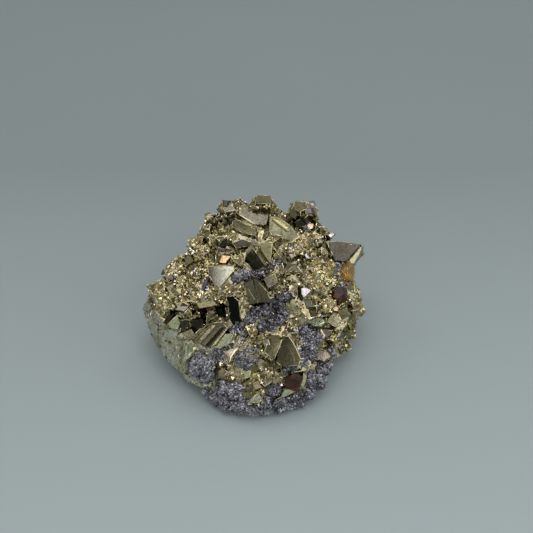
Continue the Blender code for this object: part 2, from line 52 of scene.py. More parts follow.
# Large flat faces: name, corners as (u, v), tone, and how many growth steps stand on the face. The tones are
# the metal's colour made lighter or darker face by face as painted reflection and painted shade. A tone of
# two parts is brightened by the second, and one of three runs from the first to the second along a way in
# degrees,
# 0 to the right and 90 upwards, as a painted reflection that changes across the face.
FACES = (
    ("projecting_top", ((28.0, 23.9), (35.3, 23.6), (41.0, 22.8), (40.4, 22.0), (34.5, 16.2), (30.9, 16.5),
                        (28.8, 21.0)), ("warm_grey", 0.40), 0),
    ("grey_plate", ((-6.1, 34.3), (-4.6, 36.4), (6.2, 36.0), (4.4, 30.4), (0.9, 30.1)),
     ("silver_grey", 0.60), 1),
    ("green_plate", ((6.2, 33.6), (5.5, 27.9), (9.5, 23.9), (13.3, 23.3), (17.1, 25.6), (15.9, 27.4),
                     (13.6, 30.1), (9.5, 33.0)), ("pale_green", "beige", -60.0), 1),
    ("shield_plate", ((-18.1, 13.9), (-15.8, 14.7), (-8.3, 14.5), (-7.7, 13.3), (-12.8, 6.7), (-15.0, 6.8),
                      (-17.3, 10.6)), ("soot", "shell", 15.0), 0),
    ("arrow_crystal", ((4.3, 23.8), (6.9, 23.5), (5.7, 14.9), (1.6, 18.6), (-0.2, 21.2)),
     ("bright_olive", 1.25), 0),
    ("black_face", ((-10.9, 2.6), (-8.6, 3.0), (-6.0, 1.0), (-5.4, -5.5), (-8.4, -8.9), (-9.6, -5.5),
                    (-9.8, 0.3)), "black", 0),
    ("black_wedge", ((-1.6, 20.6), (-0.6, 19.8), (3.3, 14.1), (0.6, 13.5), (-4.8, 14.5), (-3.6, 17.2)),
     "soot", 0),
    ("sage_quad", ((-34.4, -8.7), (-29.5, -4.2), (-27.6, -5.4), (-29.5, -9.8)), "sage", 0),
    ("striated_face", ((-19.0, -7.7), (-12.5, -7.0), (-10.3, -9.5), (-16.9, -17.1), (-18.6, -17.4),
                       (-24.3, -13.3)), ("dark_olive", 1.6), 0),
    ("sage_slope", ((-15.8, -16.2), (-10.8, -11.5), (-8.3, -11.8), (-9.3, -14.8), (-12.8, -17.1)),
     ("sage", 1.8), 0),
    ("dark_slab", ((11.2, -12.5), (13.0, -12.7), (14.8, -15.0), (16.2, -17.7), (17.9, -21.6), (16.7, -23.9),
                   (10.2, -23.9), (7.4, -21.5)), ("soot", "olive", -50.0), 1),
    ("olive_slope", ((6.3, -11.6), (10.6, -12.6), (7.0, -21.2), (3.7, -18.6)), ("olive", 0.66), 0),
    ("ridge_face", ((1.8, 8.6), (3.8, 9.8), (7.7, 11.5), (9.4, 6.8), (5.9, 3.6)), ("olive", 1.9), 0),
    ("beige_right", ((28.0, -6.5), (30.0, -3.9), (31.5, -4.5), (33.2, -7.4), (31.5, -9.1), (29.4, -8.0)),
     ("beige", 1.6), 0),
    ("beige_low", ((23.6, -17.4), (27.7, -17.4), (29.4, -19.2), (27.7, -20.9), (24.1, -19.7)),
     ("beige", 0.45), 0),
    ("upper_slope", ((-8.3, 33.4), (0.8, 29.0), (0.4, 26.2), (-4.5, 27.2), (-8.6, 29.2)), ("olive", 0.85),
     0),
    ("brown_band", ((-8.4, 23.3), (-4.9, 24.7), (-0.5, 23.3), (-2.8, 22.1), (-7.0, 21.3)),
     ("warm_grey", 0.27), 0),
    ("top_block", ((0.1, 40.9), (1.2, 41.6), (5.8, 41.6), (6.6, 40.2), (5.6, 38.4), (0.4, 38.6)),
     ("olive", 0.40), 0),
    ("lump_cap", ((14.5, 37.0), (15.7, 39.2), (19.6, 39.2), (20.5, 36.6), (17.6, 35.4)), ("olive", 0.45),
     0),
    ("lump_side", ((19.6, 38.9), (22.3, 38.6), (24.6, 36.0), (24.2, 33.6), (20.6, 34.2)), "silver_grey", 0),
    ("foot_triangle", ((-2.0, -38.0), (1.2, -34.0), (2.9, -36.8), (1.6, -38.0)), ("sage", 0.50), 0),
    ("foot_facet", ((-4.9, -27.5), (-1.4, -25.4), (-1.7, -28.0), (-4.7, -29.2)), ("sage", 0.55), 0),
    ("pale_corner", ((-26.2, -15.0), (-23.4, -15.4), (-22.8, -17.5), (-25.2, -19.3), (-26.6, -21.6)),
     ("sage", 1.35), 0),
    ("left_block", ((-12.9, 38.7), (-9.8, 39.5), (-7.5, 36.0), (-11.3, 35.2)), ("silver_grey", 0.50), 0),
    ("mid_pyramid", ((12.5, 12.7), (15.9, 15.1), (18.3, 12.1)), ("beige", 0.30), 0),
)

# Small flat faces: name, corners as (u, v), tone (most are painted reflection and shade), how far the middle
# stands off the rock, and how the face leans (rise per mm to the right and upwards) or which lamp it mirrors.
FACETS = (
    ("black_notch_upper", ((-12.0, 24.7), (-9.8, 22.7), (-14.3, 21.7)), "soot", 1.2, (0.4, -0.2)),
    ("lilac_strip", ((-14.4, 21.6), (-9.3, 20.6), (-9.3, 19.7), (-14.3, 20.7)), ("lilac", 1.5), 1.3,
     (0.0, 0.5)),
    ("dark_window_left", ((-17.3, 31.8), (-14.6, 31.8), (-14.6, 29.7), (-17.2, 29.9)), "soot", 1.5,
     (0.1, 0.2)),
    ("dark_window_right", ((-10.2, 32.7), (-8.4, 32.6), (-8.5, 30.1), (-10.1, 30.1)), "soot", 1.2,
     (0.1, 0.2)),
    ("corner_cube", ((-12.3, 39.3), (-10.3, 39.1), (-10.6, 37.4), (-12.2, 37.5)), "dark_olive", 1.2,
     (0.2, 0.1)),
    ("sage_oval", ((21.2, -7.4), (22.4, -5.9), (24.4, -5.3), (26.5, -5.9), (27.2, -7.1), (25.6, -8.8),
                   (22.6, -8.7)), ("sage", 1.0), 1.6, (0.1, -0.2)),
    ("beige_wedge", ((-12.4, -18.4), (-6.0, -16.6), (-8.4, -20.0), (-9.6, -22.8), (-10.4, -20.2)),
     ("beige", 0.80), 0.9, (0.0, -0.2)),
    ("lump_left", ((13.3, 36.6), (15.0, 37.2), (16.4, 34.6), (15.6, 32.4), (13.6, 33.4)), "dark_olive", 1.0,
     (0.4, 0.0)),
    ("lump_low", ((15.2, 31.2), (17.6, 32.6), (19.6, 30.2), (16.4, 29.6)), "soot", 1.0, (0.1, 0.3)),
    ("lump_glint", ((21.0, 38.9), (22.6, 39.2), (23.2, 37.8), (21.8, 37.2)), "lit_white", 0.5, "front"),
    ("plum_side", ((19.0, 36.8), (21.7, 36.8), (22.3, 34.7), (19.4, 34.3)), "lilac", 0.8, (0.3, -0.2)),
    ("side_strip", ((34.5, 16.1), (37.6, 18.9), (40.5, 21.8), (41.4, 22.0), (40.1, 18.7), (38.1, 15.4),
                    (35.3, 15.6)), ("pale_green", 0.75), 1.7, "ceiling"),
    ("peach_facet", ((-13.7, 15.8), (-12.4, 18.6), (-9.0, 18.4), (-11.1, 15.5)), "lit_peach", 1.0, "front"),
    ("white_facet", ((17.8, 6.0), (19.1, 6.4), (21.9, 5.3), (18.9, 2.1), (18.0, 3.6)), ("lit_white", 1.15),
     1.0, "right"),
    ("edge_glint", ((28.1, 26.3), (29.4, 27.3), (30.8, 26.8), (29.4, 25.3)), ("lit_white", 1.45), 0.8,
     "right"),
    ("yellow_facet", ((19.9, 30.6), (20.8, 31.0), (22.9, 30.9), (22.4, 28.9), (21.2, 28.5)),
     ("lit_cream", 1.4), 0.8, "right"),
    ("spark_upper", ((19.1, 18.9), (20.0, 19.8), (21.5, 17.1), (20.0, 17.3)), "lit_white", 1.4, "front"),
    ("arrow_spark", ((-0.7, 24.9), (0.6, 25.0), (1.0, 23.9), (-0.4, 23.7)), "lit_white", 1.2, "front"),
    ("arrow_spark_low", ((0.2, 22.2), (1.5, 22.0), (1.5, 20.9), (0.3, 21.1)), "lit_cream", 1.2, "front"),
    ("sage_quad_back", ((-33.6, -7.6), (-31.0, -4.0), (-29.9, -4.6), (-32.9, -7.4)), "soot", 0.8,
     (-0.6, 0.5)),
    ("pocket_a", ((-24.8, -6.6), (-20.2, -5.9), (-19.8, -10.1), (-23.3, -11.6)), "soot", 1.5, (0.3, 0.2)),
    ("pocket_b", ((-28.6, -6.3), (-25.9, -5.9), (-24.6, -11.0), (-27.2, -12.6)), "dark_olive", 1.6,
     (-0.3, 0.1)),
    ("rim_side", ((18.7, -26.1), (20.3, -25.2), (20.0, -29.3), (18.9, -32.2), (17.2, -31.2), (18.5, -28.9)),
     "pale_green", 1.2, (-0.2, -0.1)),
    ("rim_foot", ((18.9, -32.2), (17.4, -31.2), (14.0, -33.0), (11.7, -32.6), (10.2, -35.6), (8.4, -36.9),
                  (13.6, -34.9)), "sage", 1.2, (-0.1, 0.1)),
    ("pocket_low", ((-28.0, -11.2), (-24.4, -9.8), (-22.4, -12.8), (-25.4, -14.0)), ("olive", 0.8), 2.0,
     (0.1, 0.1)),
    ("black_side", ((-14.9, -2.2), (-12.8, -1.4), (-10.8, -5.7), (-14.3, -5.1)), "black", 0.9, (0.3, 0.4)),
    ("cream_lump", ((-22.9, -15.5), (-21.3, -15.1), (-20.2, -16.4), (-21.1, -18.0), (-22.6, -17.4)),
     "cream", 1.0, (-0.1, -0.3)),
    ("peach_spark", ((29.4, -0.9), (30.6, -0.2), (32.4, -1.6), (32.2, -3.0), (30.6, -2.8)), "lit_peach",
     2.0, "front"),
    ("violet_face", ((-19.4, 8.5), (-18.3, 8.5), (-19.6, 4.8), (-20.6, 5.1)), "violet", 1.2, (0.2, 0.1)),
    ("centre_left", ((-3.7, 8.0), (-0.2, 9.7), (1.3, 0.3), (-2.5, -0.5)), "dark_olive", 1.8, (0.35, 0.0)),
    ("centre_right", ((-0.2, 9.7), (2.9, 8.0), (6.7, 0.3), (1.3, 0.3)), "dark_olive", 1.8, (-0.35, 0.0)),
    ("lilac_pyramid", ((3.3, 9.5), (6.0, 10.8), (8.6, 8.0), (5.2, 6.0)), ("silver_grey", 1.35), 1.4,
     (0.1, -0.2)),
    ("west_brown", ((-30.9, -2.2), (-27.9, -0.1), (-25.2, -1.1), (-27.1, -3.0)), "warm_grey", 1.2,
     (0.0, -0.4)),
    ("west_olive", ((-22.5, 0.3), (-15.6, 1.2), (-14.0, -0.5), (-21.3, -1.8)), "olive", 1.2, (0.1, -0.5)),
    ("east_grey_a", ((9.0, 18.3), (12.5, 18.7), (11.3, 15.3), (9.4, 15.6)), "grey_olive", 1.0, (0.4, -0.1)),
    ("east_grey_b", ((12.5, 15.6), (15.9, 15.4), (14.0, 12.2), (11.7, 13.0)), "grey_olive", 1.2,
     (-0.3, -0.3)),
    ("east_dull", ((24.4, 24.1), (28.6, 24.5), (29.4, 20.6), (25.6, 20.3)), "grey_olive", 0.6, (0.1, -0.2)),
    ("brown_right", ((29.4, 5.6), (32.9, 6.4), (35.2, 3.3), (31.7, 1.8)), "warm_grey", 0.8, (0.4, -0.3)),
    ("east_blob", ((23.3, -18.2), (27.5, -17.6), (29.4, -20.1), (26.7, -22.4), (24.9, -21.6),
                   (22.9, -21.9)), ("beige", 0.5), 0.6, (0.1, -0.2)),
    ("grey_low_right", ((2.9, -14.0), (5.2, -13.6), (6.0, -15.9), (3.7, -16.6)), "silver_grey", 1.0,
     (0.3, 0.0)),
    ("upper_left_face", ((-19.8, 27.2), (-17.1, 27.9), (-15.9, 25.6), (-18.6, 24.5)), "olive", 0.8,
     (0.3, -0.2)),
    ("knob_right", ((-14.0, -25.9), (-11.0, -24.5), (-11.7, -28.2), (-14.0, -28.9)), "olive", 0.8,
     (-0.3, -0.1)),
    ("foot_olive", ((-2.9, -23.9), (0.2, -22.4), (1.3, -25.5), (-1.3, -26.6)), "olive", 0.8, (0.2, -0.3)),
    ("foot_pale_right", ((6.5, -35.5), (8.3, -33.5), (9.8, -34.5), (8.6, -37.0), (7.1, -37.6)), "sage", 1.2,
     (0.0, -0.3)),
    ("low_beige", ((-1.0, -30.5), (1.3, -29.3), (2.9, -32.0), (0.2, -33.2)), "beige", 0.9, (0.2, -0.2)),
    ("low_grey", ((2.9, -30.9), (6.0, -30.1), (7.5, -33.2), (4.4, -34.7)), "grey_olive", 0.9, (-0.2, -0.2)),
    ("right_olive", ((32.1, -2.8), (35.5, -0.9), (37.5, -4.3), (34.0, -6.3)), "olive", 0.8, (-0.4, -0.1)),
    ("right_brown_tri", ((25.9, -9.7), (30.2, -10.3), (27.9, -14.0)), "warm_grey", 0.9, (0.0, 0.2)),
    ("east_low", ((18.8, 1.4), (21.6, 1.6), (22.6, -1.0), (20.2, -1.8)), "grey_olive", 1.0, (0.2, -0.1)),
    ("east_lower", ((21.4, -2.6), (23.6, -2.8), (24.4, -4.8), (22.0, -5.2)), "olive", 1.0, (-0.2, 0.1)),
    ("mid_white", ((25.0, -5.1), (26.1, -4.2), (27.1, -5.1)), "lit_white", 1.2, "front"),
    ("left_gold_a", ((-27.1, 17.2), (-24.8, 18.7), (-23.3, 16.4), (-25.6, 14.9)), "olive", 0.7,
     (0.3, -0.3)),
    ("left_gold_b", ((-34.0, 6.4), (-31.3, 8.0), (-30.2, 5.3), (-32.9, 4.1)), "olive", 0.7, (-0.2, -0.4)),
)

# Small faces that stand over the dark grains, and those that tiny crystals may grow over.
OVER_GRAINS = ("beige_wedge",)
OVERGROWN = ("pocket_a", "pocket_b", "sage_quad_back", "centre_left", "centre_right")

# Bright ridges, rounded to catch the lamps and most painted pale as highlights: name, the flat face whose
# plane they lie in or None for the rock, points, half width, tone.
RIDGES = (
    ("slab_ridge", "dark_slab", ((11.2, -12.5), (7.4, -21.5)), 0.20, "painted_highlight"),
    ("slab_edge", "dark_slab", ((11.3, -12.4), (13.3, -12.7), (14.8, -15.0), (16.2, -17.7), (17.9, -21.6)),
     0.14, "painted_highlight"),
    ("rim_top", None, ((14.6, -26.3), (17.4, -25.9), (20.0, -25.3)), 0.22, "painted_highlight"),
    ("stair_edge", "striated_face", ((-24.2, -13.0), (-19.0, -7.7)), 0.20, "painted_highlight"),
    ("plate_edge", "grey_plate", ((-6.1, 34.3), (1.0, 30.1)), 0.26, "painted_highlight"),
    ("plate_line", "upper_slope", ((-8.4, 33.2), (0.4, 28.6)), 0.16, "painted_highlight"),
    ("arrow_top", "arrow_crystal", ((3.9, 23.7), (7.0, 23.4)), 0.26, "painted_highlight"),
    ("arrow_right", "arrow_crystal", ((6.9, 23.4), (5.8, 15.2)), 0.20, "painted_highlight"),
    ("arrow_low", "arrow_crystal", ((-0.2, 21.0), (1.6, 18.7), (5.6, 15.1)), 0.18, "painted_highlight"),
    ("west_ridge", None, ((-30.6, -0.1), (-24.8, 1.0), (-20.9, 0.1)), 0.15, "painted_highlight"),
    ("fan_upper", None, ((6.7, 22.6), (10.2, 17.6)), 0.13, "painted_highlight"),
    ("green_strip", "green_plate", ((6.8, 32.6), (9.4, 30.6), (13.2, 27.9)), 0.85, "old_gold"),
    ("centre_line", "centre_right", ((1.6, 8.0), (6.0, 3.6)), 0.15, "old_gold"),
    ("centre_line_low", "centre_left", ((-2.6, 5.8), (0.4, 1.4)), 0.13, "old_gold"),
    ("east_line", None, ((12.9, 12.6), (17.9, 11.4)), 0.13, "painted_highlight"),
    ("green_rim", "green_plate", ((16.2, 27.2), (17.2, 25.7), (13.6, 23.3), (10.6, 23.3)), 0.34, "painted_highlight"),
    ("stair_right", "striated_face", ((-16.7, -16.8), (-10.4, -9.4)), 0.22, "painted_highlight"),
    ("stair_middle", "striated_face", ((-18.1, -13.9), (-14.2, -10.3)), 0.20, "painted_highlight"),
)

# Growth stairs on the striated face: corners as (u, v) along the first edge then back along the last, and
# how many stairs.
STAIR_CORNERS = ((-24.3, -13.3), (-19.0, -7.7), (-10.3, -9.5), (-16.9, -17.1))
STAIR_COUNT = 5

# Where tiny crystals crowd together, as (u, v, radius), and how thin they grow elsewhere.
CROWDS = ((-24.0, 15.0, 14.0), (-31.0, 4.0, 10.0), (-14.0, 29.0, 9.0), (-14.0, 2.0, 7.0), (22.0, 18.0, 11.0),
          (26.0, 11.0, 10.0), (31.0, -2.0, 7.0), (17.0, 25.0, 9.0), (3.0, -17.0, 5.0), (3.0, -29.0, 6.0),
          (-4.0, -14.0, 4.0), (10.0, 7.0, 5.0), (10.5, -9.0, 4.0), (-14.5, -6.5, 3.0), (-22.8, 3.0, 4.0))
ELSEWHERE = 0.45

# Where the tiny crystals are darkened as painted shade, as (u, v, radius, share of tone kept).
PAINTED_SHADE_SPOTS = ((4.0, 3.0, 16.0, 0.36), (9.0, 13.0, 8.0, 0.75), (-13.0, 33.0, 9.0, 0.85), (-1.0, -12.0, 5.0, 0.70),
        (-25.5, -10.5, 4.5, 0.35))

# Dark grains strewn on the rock, as (u, v, radius, count).
STREWN = ((-1.5, -20.5, 4.0, 90), (-12.0, -18.5, 4.5, 90), (21.5, -11.5, 4.5, 110), (19.5, -19.8, 4.0, 90),
          (33.0, 14.5, 2.6, 50), (20.0, 29.8, 2.2, 30), (31.5, 12.0, 2.5, 30), (6.0, 5.0, 2.0, 20),
          (-5.0, -12.0, 3.0, 40), (33.5, 7.0, 2.0, 40), (23.0, 24.0, 2.0, 20), (14.0, -25.5, 3.0, 60),
          (8.1, -3.6, 1.8, 60))

# Lamps: way from the specimen, distance, size, brightness and colour.
LAMPS = {
    "ceiling": ((0.0, 0.15, 1.0), 900.0, 900.0, 1.0, (1.0, 0.99, 0.99)),
    "left": ((-0.61, 0.35, 0.71), 800.0, 160.0, 4.6, (1.0, 0.87, 0.92)),
    "right": ((0.50, -0.47, 0.73), 800.0, 160.0, 4.2, (0.99, 0.90, 0.98)),
    "front": ((0.05, -0.60, 0.80), 700.0, 150.0, 3.4, (1.0, 0.94, 0.98)),
    "low_front": ((-0.27, -0.79, 0.56), 800.0, 300.0, 0.70, (1.0, 1.0, 0.97)),
    "low_right": ((0.92, -0.10, 0.38), 800.0, 460.0, 1.05, (1.0, 0.98, 0.97)),
    "back": ((0.40, 0.58, 0.71), 800.0, 170.0, 3.0, (1.0, 0.95, 0.90)),
}

# What each tone gives back of the light that falls on it, as red, green and blue: the metal's colour made
# lighter or darker face by face as painted reflection, the black and near-black tones as painted shade and
# dark reflection, and the palest as painted highlight.
TONES_AND_PAINTED_LIGHT = {
    "warm_grey": (0.30, 0.275, 0.235),
    "silver_grey": (0.50, 0.45, 0.37),
    "pale_green": (0.72, 0.70, 0.46),
    # A painted reflection: the near-white side of the shield plate.
    "shell": (1.0, 0.97, 0.84),
    "bright_olive": (0.48, 0.44, 0.28),
    "olive": (0.30, 0.275, 0.165),
    "dark_olive": (0.17, 0.165, 0.115),
    # The next two are painted shade in hollows and painted dark reflection, not the metal's own colour.
    "soot": (0.065, 0.065, 0.045),
    "black": (0.016, 0.020, 0.016),
    "sage": (0.52, 0.58, 0.42),
    "beige": (0.60, 0.55, 0.40),
    "grey_olive": (0.34, 0.335, 0.26),
    "lilac": (0.42, 0.37, 0.40),
    "violet": (0.22, 0.20, 0.42),
    "cream": (0.95, 0.86, 0.62),
    # A painted highlight: the pale colour of bright edges, ridges and stair lips.
    "painted_highlight": (1.0, 0.93, 0.66),
    "old_gold": (0.62, 0.57, 0.30),
    "lit_peach": (0.34, 0.245, 0.135),
    "lit_white": (0.24, 0.235, 0.235),
    "lit_cream": (0.25, 0.225, 0.155),
}

# ---------------------------------------------------------------- arrays for meshes

# How near counts as touching, as nothing and as on a face, and a way that lies along no crystal plane.
TOUCH = 1e-6
TINY = 1e-9
ON_FACE = 1e-4
ODD_WAY = (0.31, 0.67, 0.59)
# Ways to the faces and the bevels of a crystal.
OCTAHEDRON = np.array(list(itertools.product((-1, 1), repeat=3)))
BEVELS = np.array([way for way in itertools.product((-1, 0, 1), repeat=3) if np.abs(way).sum() == 2])
# How lumps are spread and roughened.
GOLDEN_ANGLE = math.pi * (3.0 - math.sqrt(5.0))
LUMP_SHAKE = 0.16
LUMP_REACH = (0.80, 1.0)
# The noise lattice's cells a side, and how many spots or rays are worked on at once.
LATTICE = 32
SPOTS_AT_ONCE = 500
RAYS_AT_ONCE = 40


def unit(rows):
    """Each row divided by its own length."""
    return rows / np.linalg.norm(rows, axis=-1, keepdims=True)


def make_piece(name, parts, material, smooth=False, mapped=False):
    """One mesh object from parts, each of them (points in mm, corner numbers, corners per face, tone).

    Where asked, a corner map gives each triangle's corners (0, 0), (1, 0) and (0, 1).
    """
    base = np.cumsum([0] + [len(part[0]) for part in parts])
    points = np.concatenate([part[0] for part in parts])
    corners = np.concatenate([part[1] + base[row] for row, part in enumerate(parts)])
    counts = np.concatenate([part[2] for part in parts])
    tones = np.concatenate([np.broadcast_to(part[3], part[0].shape) for part in parts])
    mesh = bpy.data.meshes.new(name)
    mesh.vertices.add(len(points))
    mesh.vertices.foreach_set("co", (points * MM).ravel())
    mesh.loops.add(len(corners))
    mesh.loops.foreach_set("vertex_index", corners.astype(np.int32))
    mesh.polygons.add(len(counts))
    starts = np.concatenate(([0], np.cumsum(counts)[:-1]))
    mesh.polygons.foreach_set("loop_start", starts.astype(np.int32))
    mesh.update(calc_edges=True)
    mesh.polygons.foreach_set("use_smooth", np.full(len(counts), smooth))
    tone = mesh.attributes.new("tone", "FLOAT_COLOR", "POINT")
    tone.data.foreach_set("color", np.column_stack((tones, np.ones(len(tones)))).ravel())
    if mapped:
        corner_map = np.tile(((0.0, 0.0), (1.0, 0.0), (0.0, 1.0)), (len(corners) // 3, 1))
        mesh.uv_layers.new(name="corner_map").data.foreach_set("uv", corner_map.ravel())
    mesh.materials.append(material)
    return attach(place_in_scene(name, mesh), "root")


def place_in_scene(name, data):
    """An object in the scene that shows this mesh, lamp or lens."""
    piece = bpy.data.objects.new(name, data)
    bpy.context.scene.collection.objects.link(piece)
    return piece


def closed_sheet(outer, inner, shape, tones):
    """A body from two grids of points in the same rows and columns, closed round their border."""
    count = len(outer)
    grid = np.arange(count).reshape(shape)
    quads = np.stack((grid[:-1, :-1], grid[:-1, 1:], grid[1:, 1:], grid[1:, :-1]), axis=-1).reshape(-1, 4)
    loop = np.concatenate((grid[0], grid[1:, -1], grid[-1, -2::-1], grid[-2:0:-1, 0]))
    after = np.roll(loop, -1)
    rim = np.column_stack((after, loop, loop + count, after + count))
    faces = np.concatenate((quads, quads[:, ::-1] + count, rim))
    points = np.concatenate((outer, inner))
    return points, faces.ravel(), np.full(len(faces), 4), np.concatenate((tones, tones))


def ring_faces(rings, side, swapped=False):
    """Quads between rings of `side` points each, and one face over the first ring and one over the last.

    Swapped, each face runs round the other way.
    """
    here = np.arange(side)
    after = np.roll(here, -1)
    quads = np.column_stack((here, after, after + side, here + side))
    first, last = here[::-1], here
    if swapped:
        quads = quads[:, [0, 3, 2, 1]]
        first, last = last, first
    quads = np.concatenate([quads + row * side for row in range(rings - 1)])
    corners = np.concatenate((quads.ravel(), first, last + (rings - 1) * side))
    return corners, np.concatenate((np.full(len(quads), 4), (side, side)))


def half_round(rise, foot, sunk):
    """A bar's profile: five spots over a half circle one unit to each side, then two spots under its feet."""
    turn = np.radians(np.arange(0.0, 181.0, 45.0))
    wide = np.concatenate((np.cos(turn), (-foot, foot)))
    high = np.concatenate((np.sin(turn) * rise, (-sunk, -sunk)))
    return wide, high


def cut_solid(normals, reaches):
    """The solid inside a set of planes.

    A corner is where three planes meet inside all the others. A face is the corners that lie on one
    plane, in order of their angle round its normal.
    """
    normals = unit(np.asarray(normals, float))
    reaches = np.asarray(reaches, float)
    triples = np.array(list(itertools.combinations(range(len(normals)), 3)))
    sides = normals[triples]
    meet = np.abs(np.linalg.det(sides)) > TOUCH
    spots = np.linalg.solve(sides[meet], reaches[triples[meet]][..., None])[..., 0]
    inside = (spots @ normals.T <= reaches + TOUCH).all(axis=1)
    spots = np.unique(np.round(spots[inside], 6), axis=0)
    corners, counts = [], []
    for normal, reach in zip(normals, reaches):
        on = np.flatnonzero(np.abs(spots @ normal - reach) < ON_FACE)
        if len(on) < 3:
            continue
        first = unit(np.cross(normal, ODD_WAY))
        around = np.arctan2(spots[on] @ np.cross(normal, first), spots[on] @ first)
        corners.extend(on[np.argsort(around)])
        counts.append(len(on))
    return spots, np.array(corners), np.array(counts)


def pyrite_habit(edge=None):
    """An octahedron one unit to a tip. Its edges are cut by bevels at a share of their own distance."""
    planes, reaches = OCTAHEDRON, np.full(len(OCTAHEDRON), 1.0 / math.sqrt(3.0))
    if edge:
        planes = np.concatenate((planes, BEVELS))
        reaches = np.concatenate((reaches, np.full(len(BEVELS), edge / math.sqrt(2.0))))
    return cut_solid(planes, reaches)


def lump_habit(rng, sides):
    """A grain: planes at uneven distances all round a point, spread by the golden angle."""
    step = np.arange(sides)
    height = 1.0 - 2.0 * (step + 0.5) / sides
    turn = step * GOLDEN_ANGLE
    flat = np.sqrt(1.0 - height ** 2)
    planes = np.column_stack((flat * np.cos(turn), flat * np.sin(turn), height))
    planes = unit(planes + rng.normal(0.0, LUMP_SHAKE, planes.shape))
    return cut_solid(planes, rng.uniform(*LUMP_REACH, sides))


def random_turns(rng, count):
    """Rotation matrices from random unit quaternions."""
    w, x, y, z = unit(rng.normal(size=(count, 4))).T
    return np.stack((
        1 - 2 * (y * y + z * z), 2 * (x * y - w * z), 2 * (x * z + w * y),
        2 * (x * y + w * z), 1 - 2 * (x * x + z * z), 2 * (y * z - w * x),
        2 * (x * z - w * y), 2 * (y * z + w * x), 1 - 2 * (x * x + y * y)), axis=1).reshape(count, 3, 3)


def copies(habit, centres, turns, sizes, tones):
    """Many turned and stretched copies of one habit, each point being centre + turn (habit * size)."""
    shape, corners, counts = habit
    points = np.einsum("nij,nvj->nvi", turns, shape[None] * sizes[:, None, :]) + centres[:, None, :]
    starts = np.arange(len(centres))[:, None] * len(shape)
    return (points.reshape(-1, 3), (corners[None] + starts).ravel(), np.tile(counts, len(centres)),
            np.repeat(tones, len(shape), axis=0))


def value_noise(points, size, seed):
    """Smooth noise from -1 to 1: random values on a lattice, blended between its corners."""
    table = np.random.default_rng(seed).uniform(-1.0, 1.0, (LATTICE, LATTICE, LATTICE))
    place = points / size
    cell = np.floor(place).astype(int)
    share = place - cell
    share = share * share * (3.0 - 2.0 * share)
    total = np.zeros(len(points))
    for corner in itertools.product((0, 1), repeat=3):
        weight = np.where(np.array(corner) == 1, share, 1.0 - share).prod(axis=1)
        at = (cell + corner) % LATTICE
        total += weight * table[at[:, 0], at[:, 1], at[:, 2]]
    return total


# ---------------------------------------------------------------- reading the frame

def node_triangles(piece):
    """The triangles of a frame node in mm, and their outward normals and areas."""
    mesh = piece.data
    mesh.calc_loop_triangles()
    points = np.empty(len(mesh.vertices) * 3)
    mesh.vertices.foreach_get("co", points)
    corners = np.empty(len(mesh.loop_triangles) * 3, np.int32)
    mesh.loop_triangles.foreach_get("vertices", corners)
    triangles = points.reshape(-1, 3)[corners].reshape(-1, 3, 3) / MM
    across = np.cross(triangles[:, 1] - triangles[:, 0], triangles[:, 2] - triangles[:, 0])
    double = np.linalg.norm(across, axis=1)
    keep = double > TOUCH
    return triangles[keep], across[keep] / double[keep, None], double[keep] / 2.0


def pick_spots(rng, triangles, normals, areas, count):
    """Spots spread evenly over triangles, by area, and the normal at each."""
    row = rng.choice(len(areas), count, p=areas / areas.sum())
    a = rng.random((count, 1))
    b = rng.random((count, 1))
    over = a + b > 1.0
    a = np.where(over, 1.0 - a, a)
    b = np.where(over, 1.0 - b, b)
    corner = triangles[row]
    return corner[:, 0] + a * (corner[:, 1] - corner[:, 0]) + b * (corner[:, 2] - corner[:, 0]), normals[row]


def nearest(spots, others):
    """Distance from each spot to the closest of the others, in blocks."""
    result = []
    for block in np.array_split(spots, max(1, len(spots) // SPOTS_AT_ONCE)):
        apart = (block ** 2).sum(1)[:, None] + (others ** 2).sum(1)[None] - 2.0 * block @ others.T
        result.append(np.sqrt(np.maximum(apart.min(axis=1), 0.0)))
    return np.concatenate(result)


def sight_lines(uv):
    """Unit lines from EYE through (u, v) on the display face."""
    uv = np.atleast_2d(uv)
    return unit(AIM + uv[:, :1] * RIGHT + uv[:, 1:] * UP - EYE)


def ray_hits(starts, ways, triangles):
    """Distance along each ray to the first triangle it meets, and that triangle's number.

    Every ray is tried against every triangle, in blocks: the meeting point's two edge shares must both be
    positive and sum to at most one.
    """
    corner = triangles[:, 0]
    edge_a, edge_b = triangles[:, 1] - corner, triangles[:, 2] - corner
    distances, rows = [], []
    blocks = max(1, len(ways) // RAYS_AT_ONCE)
    for start, way in zip(np.array_split(starts, blocks), np.array_split(ways, blocks)):
        p = np.cross(way[:, None], edge_b[None])
        scale = (p * edge_a).sum(2)
        scale = np.where(np.abs(scale) < TINY, TINY, scale)
        off = start[:, None] - corner[None]
        a = (off * p).sum(2) / scale
        q = np.cross(off, edge_a[None])
        b = (q * way[:, None]).sum(2) / scale
        reach = (q * edge_b).sum(2) / scale
        reach = np.where((a >= 0) & (b >= 0) & (a + b <= 1) & (reach > 0), reach, np.inf)
        rows.append(reach.argmin(axis=1))
        distances.append(reach.min(axis=1))
    return np.concatenate(distances), np.concatenate(rows)


def sight_hits(uv, triangles):
    """Where sight lines through (u, v) first meet the triangles."""
    lines = sight_lines(uv)
    return ray_hits(np.broadcast_to(EYE, lines.shape), lines, triangles)


def plane_reach(lines, spot, normal):
    """How far along sight lines a plane lies."""
    return ((spot - EYE) @ normal) / (lines @ normal)


def onto_plane(uv, spot, normal):
    """Where sight lines through (u, v) meet a plane."""
    lines = sight_lines(uv)
    return EYE + lines * plane_reach(lines, spot, normal)[:, None]


def face_places(points):
    """Face coordinates (u, v) of points in space."""
    seen = points - EYE
    onto = EYE + seen * (REACH / -(seen @ TOWARD))[:, None] - AIM
    return np.column_stack((onto @ RIGHT, onto @ UP))


def eye_share(spots, facing):
    """How squarely a surface faces EYE: 1 when turned to it, 0 when seen edge on, below 0 from behind."""
    return (facing * unit(EYE - spots)).sum(axis=1)


